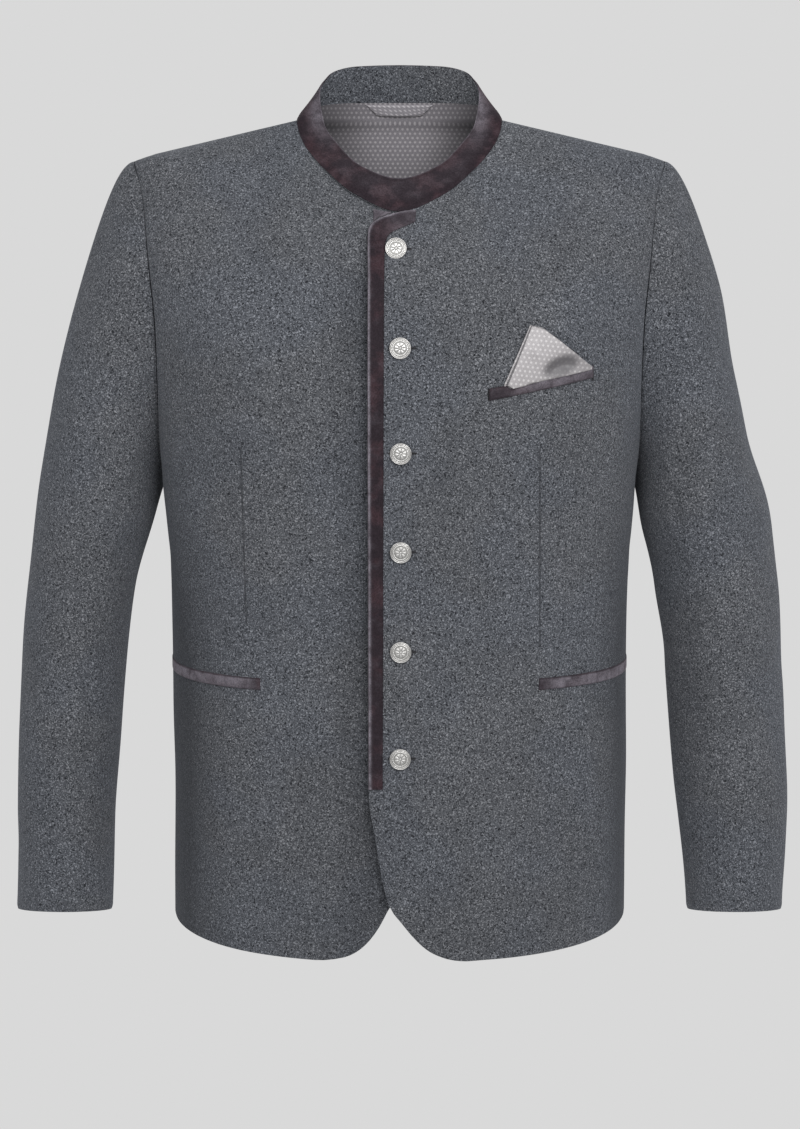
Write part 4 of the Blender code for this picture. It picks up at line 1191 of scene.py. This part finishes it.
def dots_group(name):
    """Round dots in staggered rows, laid out on the flat cloth in metres."""
    tree, taken, give = group(
        name,
        {"Across": "Float", "Down": "Float", "Dot": "Float"},
        {"Mask": "Float"},
    )
    flat = add(tree, "UVMap", uv_map="Cloth").outputs["UV"]
    parts = add(tree, "SeparateXYZ", {0: flat}).outputs
    rows = maths(tree, "DIVIDE", parts["Y"], taken["Down"])
    shift = maths(tree, "MULTIPLY", maths(tree, "FLOORED_MODULO", maths(tree, "FLOOR", rows), 2.0), 0.5)
    cols = maths(tree, "ADD", maths(tree, "DIVIDE", parts["X"], taken["Across"]), shift)
    aside = maths(tree, "MULTIPLY", maths(tree, "SUBTRACT", maths(tree, "FRACT", cols), 0.5), taken["Across"])
    above = maths(tree, "MULTIPLY", maths(tree, "SUBTRACT", maths(tree, "FRACT", rows), 0.5), taken["Down"])
    square = maths(tree, "ADD", maths(tree, "MULTIPLY", aside, aside), maths(tree, "MULTIPLY", above, above))
    away = maths(tree, "DIVIDE", maths(tree, "SQRT", square), taken["Dot"])
    give("Mask", remap(tree, away, 0.30, 0.62, 1.0, 0.0))
    return tree


GROUPS = {"Wool Fleck": fleck_group, "Velvet Pile": pile_group, "Staggered Dots": dots_group}


def surface(name, shader):
    """A finish and its Principled shader, with its fixed numbers set on the shader's own sockets."""
    material = bpy.data.materials.new(name)
    material.use_nodes = True
    tree = material.node_tree
    principled = tree.nodes["Principled BSDF"]
    for label, value in shader.items():
        principled.inputs[label].default_value = value
    return material, tree, principled.inputs


def bump(tree, height, strength, distance):
    inputs = {"Height": height, "Strength": strength, "Distance": distance}
    return add(tree, "Bump", inputs).outputs["Normal"]


def loden_finish(name):
    material, tree, shader = surface(name, {
        "Roughness": 0.92, "Specular IOR Level": 0.15, "Sheen Weight": 0.22, "Sheen Roughness": 0.6,
        "Sheen Tint": (0.62, 0.66, 0.74, 1),
    })
    wool = placed(tree, "Wool Fleck", {
        "Ground": (*settings().wool, 1), "Pale": (*settings().fleck, 1), "Dark": (0.012, 0.013, 0.016, 1),
        "Fleck Size": settings().fleck_size, "Amount": 1.0,
    })
    dart = add(tree, "Attribute", attribute_name="dart").outputs["Vector"]
    parts = add(tree, "SeparateXYZ", {0: dart}).outputs
    line = remap(tree, maths(tree, "ABSOLUTE", parts["X"]), 0.0003, 0.0013, 1.0, 0.0)
    inside = remap(tree, parts["Y"], -0.010, 0.0, 1.0, 0.0)
    sewn = maths(tree, "MULTIPLY", maths(tree, "MULTIPLY", line, inside), parts["Z"])
    # Painted shade: the places marked on the fronts are mixed towards near black.
    flat = tint(tree, maths(tree, "MULTIPLY", marked(tree, "painted_shade"), 0.68), wool["Color"], (0.016, 0.016, 0.018, 1))
    color = tint(tree, maths(tree, "MULTIPLY", sewn, 0.55), flat, (0.02, 0.02, 0.024, 1))
    tree.links.new(color, shader["Base Color"])
    height = maths(tree, "SUBTRACT", wool["Height"], maths(tree, "MULTIPLY", sewn, 1.6))
    tree.links.new(bump(tree, height, 0.55, 0.0006), shader["Normal"])
    return material


def velvet_finish(name):
    material, tree, shader = surface(name, {
        "Roughness": 0.7, "Specular IOR Level": 0.12, "Sheen Weight": 0.22, "Sheen Roughness": 0.35,
        "Sheen Tint": (0.62, 0.52, 0.57, 1),
    })
    # The pale lilac grey is the painted sheen colour, mixed in where painted sheen is marked on each piece.
    pile = placed(tree, "Velvet Pile", {
        "Ground": (*settings().velvet, 1), "Warm": (0.052, 0.029, 0.035, 1),
        "Brushed Color": (0.225, 0.206, 0.238, 1), "Painted_Sheen": marked(tree, "painted_light_mark"),
    })
    tree.links.new(pile["Color"], shader["Base Color"])
    tree.links.new(bump(tree, pile["Height"], 0.35, 0.0004), shader["Normal"])
    return material


def lining_finish(name):
    material, tree, shader = surface(name, {
        "Roughness": 0.48, "Specular IOR Level": 0.4, "Sheen Weight": 0.1, "Sheen Roughness": 0.5,
    })
    dots = placed(tree, "Staggered Dots", {"Across": 0.0043, "Down": 0.0038, "Dot": 0.0022})["Mask"]
    where = add(tree, "TexCoord").outputs["Object"]
    weave = noise(tree, where, 1500.0, 1.0)
    ground = tint(tree, remap(tree, weave, 0.3, 0.7), (0.235, 0.222, 0.243, 1), (0.330, 0.313, 0.338, 1))
    dotted = tint(tree, dots, ground, (0.53, 0.505, 0.53, 1))
    # Painted shade: the marked places are mixed towards near black.
    under = maths(tree, "MULTIPLY", marked(tree, "under"), 0.75)
    tree.links.new(tint(tree, under, dotted, (0.045, 0.042, 0.047, 1)), shader["Base Color"])
    height = maths(tree, "ADD", maths(tree, "MULTIPLY", dots, 0.6), maths(tree, "MULTIPLY", weave, 0.4))
    tree.links.new(bump(tree, height, 0.3, 0.0003), shader["Normal"])
    return material


def square_finish(name):
    material, tree, shader = surface(name, {
        "Roughness": 0.42, "Specular IOR Level": 0.5, "Sheen Weight": 0.1, "Sheen Roughness": 0.4,
    })
    dots = placed(tree, "Staggered Dots", {"Across": 0.00385, "Down": 0.00355, "Dot": 0.0019})["Mask"]
    where = add(tree, "TexCoord").outputs["Object"]
    weave = noise(tree, where, 1300.0, 1.0)
    ground = tint(tree, remap(tree, weave, 0.3, 0.7), (0.36, 0.34, 0.35, 1), (0.46, 0.44, 0.45, 1))
    dotted = tint(tree, dots, ground, (0.62, 0.60, 0.605, 1))
    # Painted shade: the marked places are mixed towards a dark grey.
    under = maths(tree, "MULTIPLY", marked(tree, "under"), 0.88)
    tree.links.new(tint(tree, under, dotted, (0.105, 0.100, 0.108, 1)), shader["Base Color"])
    height = maths(tree, "ADD", maths(tree, "MULTIPLY", dots, 0.7), maths(tree, "MULTIPLY", weave, 0.3))
    tree.links.new(bump(tree, height, 0.3, 0.0003), shader["Normal"])
    return material


def metal_finish(name):
    material, tree, shader = surface(name, {"Metallic": 1.0})
    where = add(tree, "TexCoord").outputs["Object"]
    relief = marked(tree, "relief")
    wear = noise(tree, where, 700.0, 2.0)
    bright = maths(tree, "ADD", relief, remap(tree, wear, 0.3, 0.7, -0.15, 0.15))
    tree.links.new(tint(tree, remap(tree, bright, 0.0, 1.05), (0.36, 0.357, 0.345, 1), (0.74, 0.73, 0.715, 1)),
                   shader["Base Color"])
    tree.links.new(remap(tree, bright, 0.0, 1.0, 0.58, 0.40), shader["Roughness"])
    tree.links.new(bump(tree, wear, 0.1, 0.0002), shader["Normal"])
    return material


def thread_finish(name):
    material, tree, shader = surface(name, {"Roughness": 0.7, "Specular IOR Level": 0.3})
    flat = add(tree, "UVMap", uv_map="Cloth").outputs["UV"]
    parts = add(tree, "SeparateXYZ", {0: flat}).outputs
    turns = maths(tree, "SINE", maths(tree, "MULTIPLY", parts["Y"], 9000.0))
    slit = remap(tree, maths(tree, "ABSOLUTE", parts["X"]), 0.0001, 0.0004, 1.0, 0.0)
    color = tint(tree, remap(tree, turns, -1.0, 1.0), (0.022, 0.022, 0.026, 1), (0.065, 0.065, 0.072, 1))
    tree.links.new(tint(tree, slit, color, (0.006, 0.006, 0.007, 1)), shader["Base Color"])
    tree.links.new(bump(tree, turns, 0.3, 0.0002), shader["Normal"])
    return material


# Each finish: its slot name, and what makes it
FINISHES = {
    "loden": ("loden", loden_finish),
    "velvet": ("velvet", velvet_finish),
    "lining": ("lining", lining_finish),
    "square": ("pocket_square_cloth", square_finish),
    "metal": ("button_metal", metal_finish),
    "thread": ("loden", thread_finish),
}


def finish_named(finish):
    name = f"jacket_{finish}"
    return bpy.data.materials.get(name) or FINISHES[finish][1](name)


# --- Settings and operators -----------------------------------------------------------------------


def settings():
    return bpy.context.scene.loden_jacket


class LodenJacketSettings(bpy.types.PropertyGroup):
    """What a user would change about the jacket and its studio."""

    fold_depth: FloatProperty(name="Fold Depth", description="How deep the soft folds of the cloth are",
                              default=1.0, min=0.0, max=2.0, subtype="FACTOR")
    fleck_size: FloatProperty(name="Fleck Size", description="Size of the pale fibres in the loden",
                              default=0.0012, min=0.0005, max=0.01, unit="LENGTH", precision=4)
    wool: FloatVectorProperty(name="Wool", description="Ground colour of the loden",
                              default=(0.083, 0.088, 0.099), min=0, max=1, subtype="COLOR")
    fleck: FloatVectorProperty(name="Fleck", description="Colour of the pale fibres in the loden",
                               default=(0.280, 0.290, 0.315), min=0, max=1, subtype="COLOR")
    velvet: FloatVectorProperty(name="Velvet", description="Ground colour of the velvet trims",
                                default=(0.025, 0.018, 0.023), min=0, max=1, subtype="COLOR")
    backdrop: FloatVectorProperty(name="Backdrop", description="Colour of the floor and of the air behind",
                                  default=(0.694, 0.694, 0.694), min=0, max=1, subtype="COLOR")
    ambient: FloatProperty(name="Ambient", description="Strength of the light from all round",
                           default=0.42, min=0.0, max=2.0, subtype="FACTOR")
    softbox_power: FloatProperty(name="Softbox Power", description="Power of each of the two softboxes",
                                 default=19.5, min=0.0, max=500.0, unit="POWER")
    floor_drop: FloatProperty(name="Floor Drop", description="How far the floor is below the hem",
                              default=0.55, min=0.0, max=3.0, unit="LENGTH")


class LODENJACKET_OT_body(bpy.types.Operator):
    """Builds both fronts and both halves of the back"""

    bl_idname = "loden_jacket.body"
    bl_label = "Fronts and Back"

    def execute(self, context):
        for label, side, edge in (("left", 1, EDGE_OVER), ("right", -1, EDGE_UNDER)):
            points, normals = front_panel(edge, side)
            cloth(f"front_{label}_loden", points, normals, LODEN, "loden", f"front_{label}",
                  (0.8, armhole_roll(points), 0.9, 0.3), side)
            mark_dart(bpy.data.objects[f"front_{label}_loden"], side)
            mark_painted_shade(bpy.data.objects[f"front_{label}_loden"], side)
            points, normals = back_panel(side)
            cloth(f"back_{label}_loden", points, normals, LODEN, "loden", f"back_{label}",
                  (0.5, armhole_roll(points), 0.9, 0.3), side)
        return {"FINISHED"}


class LODENJACKET_OT_sleeves(bpy.types.Operator):
    """Builds the two-piece sleeves"""

    bl_idname = "loden_jacket.sleeves"
    bl_label = "Sleeves"

    def execute(self, context):
        for label, side in (("left", 1), ("right", -1)):
            for part, first, last in (("top", BACK_SEAM - 360, FRONT_SEAM), ("under", FRONT_SEAM, BACK_SEAM)):
                points, normals = sleeve_grid(first, last, side)
                cloth(f"{part}_sleeve_{label}_loden", points, normals, LODEN, "loden",
                      f"{part}_sleeve_{label}",
                      (0, 0, 0.25 + 0.75 * ease(-0.12, -0.26, points[:1, :, 2]), 0.7), side)
        return {"FINISHED"}


class LODENJACKET_OT_collar(bpy.types.Operator):
    """Builds the velvet stand collar with its loden inner side"""

    bl_idname = "loden_jacket.collar"
    bl_label = "Stand Collar"

    def execute(self, context):
        collar()
        return {"FINISHED"}


class LODENJACKET_OT_lining(bpy.types.Operator):
    """Builds the neck lining and the hanger loop"""

    bl_idname = "loden_jacket.lining"
    bl_label = "Lining and Hanger Loop"

    def execute(self, context):
        neck_lining()
        hanger_loop()
        return {"FINISHED"}


class LODENJACKET_OT_trims(bpy.types.Operator):
    """Builds the velvet bindings and pocket welts, and the stitching"""

    bl_idname = "loden_jacket.trims"
    bl_label = "Velvet Trims"

    def execute(self, context):
        front_binding()
        neck_binding()
        for label, side in (("left", 1), ("right", -1)):
            hip_welt(label, side)
        breast_welt()
        stitching()
        return {"FINISHED"}


class LODENJACKET_OT_pocket_square(bpy.types.Operator):
    """Builds the two plies of the pocket square"""

    bl_idname = "loden_jacket.pocket_square"
    bl_label = "Pocket Square"

    def execute(self, context):
        pocket_square()
        return {"FINISHED"}


class LODENJACKET_OT_buttons(bpy.types.Operator):
    """Builds the six metal buttons"""

    bl_idname = "loden_jacket.buttons"
    bl_label = "Buttons"

    def execute(self, context):
        buttons()
        return {"FINISHED"}


def studio_surface(name):
    """A plain matt surface that the camera sees in one even colour."""
    material = bpy.data.materials.new(name)
    material.use_nodes = True
    tree = material.node_tree
    tree.nodes.remove(tree.nodes["Principled BSDF"])
    color = (*settings().backdrop, 1)
    paper = noise(tree, add(tree, "TexCoord").outputs["Object"], 60.0, 2.0)
    matt = tint(tree, remap(tree, paper, 0.3, 0.7), (*(0.97 * c for c in color[:3]), 1), color)
    seen = add(tree, "Emission", {"Color": color}).outputs[0]
    lit = add(tree, "BsdfDiffuse", {"Color": matt}).outputs[0]
    camera = add(tree, "LightPath").outputs["Is Camera Ray"]
    mixed = add(tree, "MixShader", {0: camera, 1: lit, 2: seen}).outputs[0]
    tree.links.new(mixed, tree.nodes["Material Output"].inputs["Surface"])
    return material


def softbox(name, place, target, size, power):
    light = bpy.data.lights.new(name, "AREA")
    light.shape, light.size, light.energy = "SQUARE", size, power
    lamp = bpy.data.objects.new(name, light)
    lamp.location = place
    lamp.rotation_euler = (Vector(target) - Vector(place)).to_track_quat("-Z", "Y").to_euler()
    bpy.context.scene.collection.objects.link(lamp)


class LODENJACKET_OT_stage(bpy.types.Operator):
    """Builds the floor, the even backdrop, the softboxes and the camera"""

    bl_idname = "loden_jacket.stage"
    bl_label = "Stage"

    def execute(self, context):
        scene = context.scene
        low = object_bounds()[0][2] - settings().floor_drop
        corners = [(-20, -20, low), (20, -20, low), (20, 20, low), (-20, 20, low)]
        floor = mesh_of("studio_floor", corners, [(0, 1, 2, 3)])
        floor.data.materials.append(studio_surface("studio_paper"))
        floor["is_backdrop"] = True
        world = bpy.data.worlds.new("studio_air")
        world.use_nodes = True
        scene.world = world
        tree = world.node_tree
        background = tree.nodes["Background"]
        background.inputs["Color"].default_value = (*settings().backdrop, 1)
        camera_ray = add(tree, "LightPath").outputs["Is Camera Ray"]
        inputs = {"Factor": camera_ray, "A": settings().ambient / settings().backdrop[0], "B": 1.0}
        strength = add(tree, "Mix", inputs, data_type="FLOAT").outputs[0]
        tree.links.new(strength, background.inputs["Strength"])
        middle = (0, 0, -0.12)
        power = settings().softbox_power
        softbox("softbox_left", (-0.70, -2.05, 0.64), middle, 1.2, 0.7 * power)
        softbox("softbox_right", (0.85, -2.0, 0.72), middle, 1.2, 1.3 * power)
        camera = bpy.data.objects.new("studio_camera", bpy.data.cameras.new("studio_camera"))
        camera.data.lens, camera.data.sensor_width = 89.81, 36
        camera.location = (0.0004, -2.4, 0.02)
        camera.rotation_euler = (math.radians(80.555), 0, 0)
        scene.collection.objects.link(camera)
        scene.camera = camera
        scene.view_settings.view_transform = "Standard"
        return {"FINISHED"}


OPERATORS = (
    LODENJACKET_OT_body,
    LODENJACKET_OT_sleeves,
    LODENJACKET_OT_collar,
    LODENJACKET_OT_lining,
    LODENJACKET_OT_trims,
    LODENJACKET_OT_pocket_square,
    LODENJACKET_OT_buttons,
    LODENJACKET_OT_stage,
)


class LODENJACKET_PT_panel(bpy.types.Panel):
    """Lists the jacket's settings and what it builds"""

    bl_label = "Loden Jacket"
    bl_idname = "LODENJACKET_PT_panel"
    bl_space_type = "VIEW_3D"
    bl_region_type = "UI"
    bl_category = "Loden Jacket"

    def draw(self, context):
        for name in LodenJacketSettings.__annotations__:
            self.layout.prop(settings(), name)
        for operator in OPERATORS:
            self.layout.operator(operator.bl_idname)


CLASSES = (LodenJacketSettings, *OPERATORS, LODENJACKET_PT_panel)


def register():
    for cls in CLASSES:
        bpy.utils.register_class(cls)
    bpy.types.Scene.loden_jacket = PointerProperty(type=LodenJacketSettings)


def unregister():
    del bpy.types.Scene.loden_jacket
    for cls in reversed(CLASSES):
        bpy.utils.unregister_class(cls)


def main():
    register()
    for operator in OPERATORS:
        group_name, name = operator.bl_idname.split(".")
        getattr(getattr(bpy.ops, group_name), name)()
    bpy.context.view_layer.update()


if __name__ == "__main__":
    main()
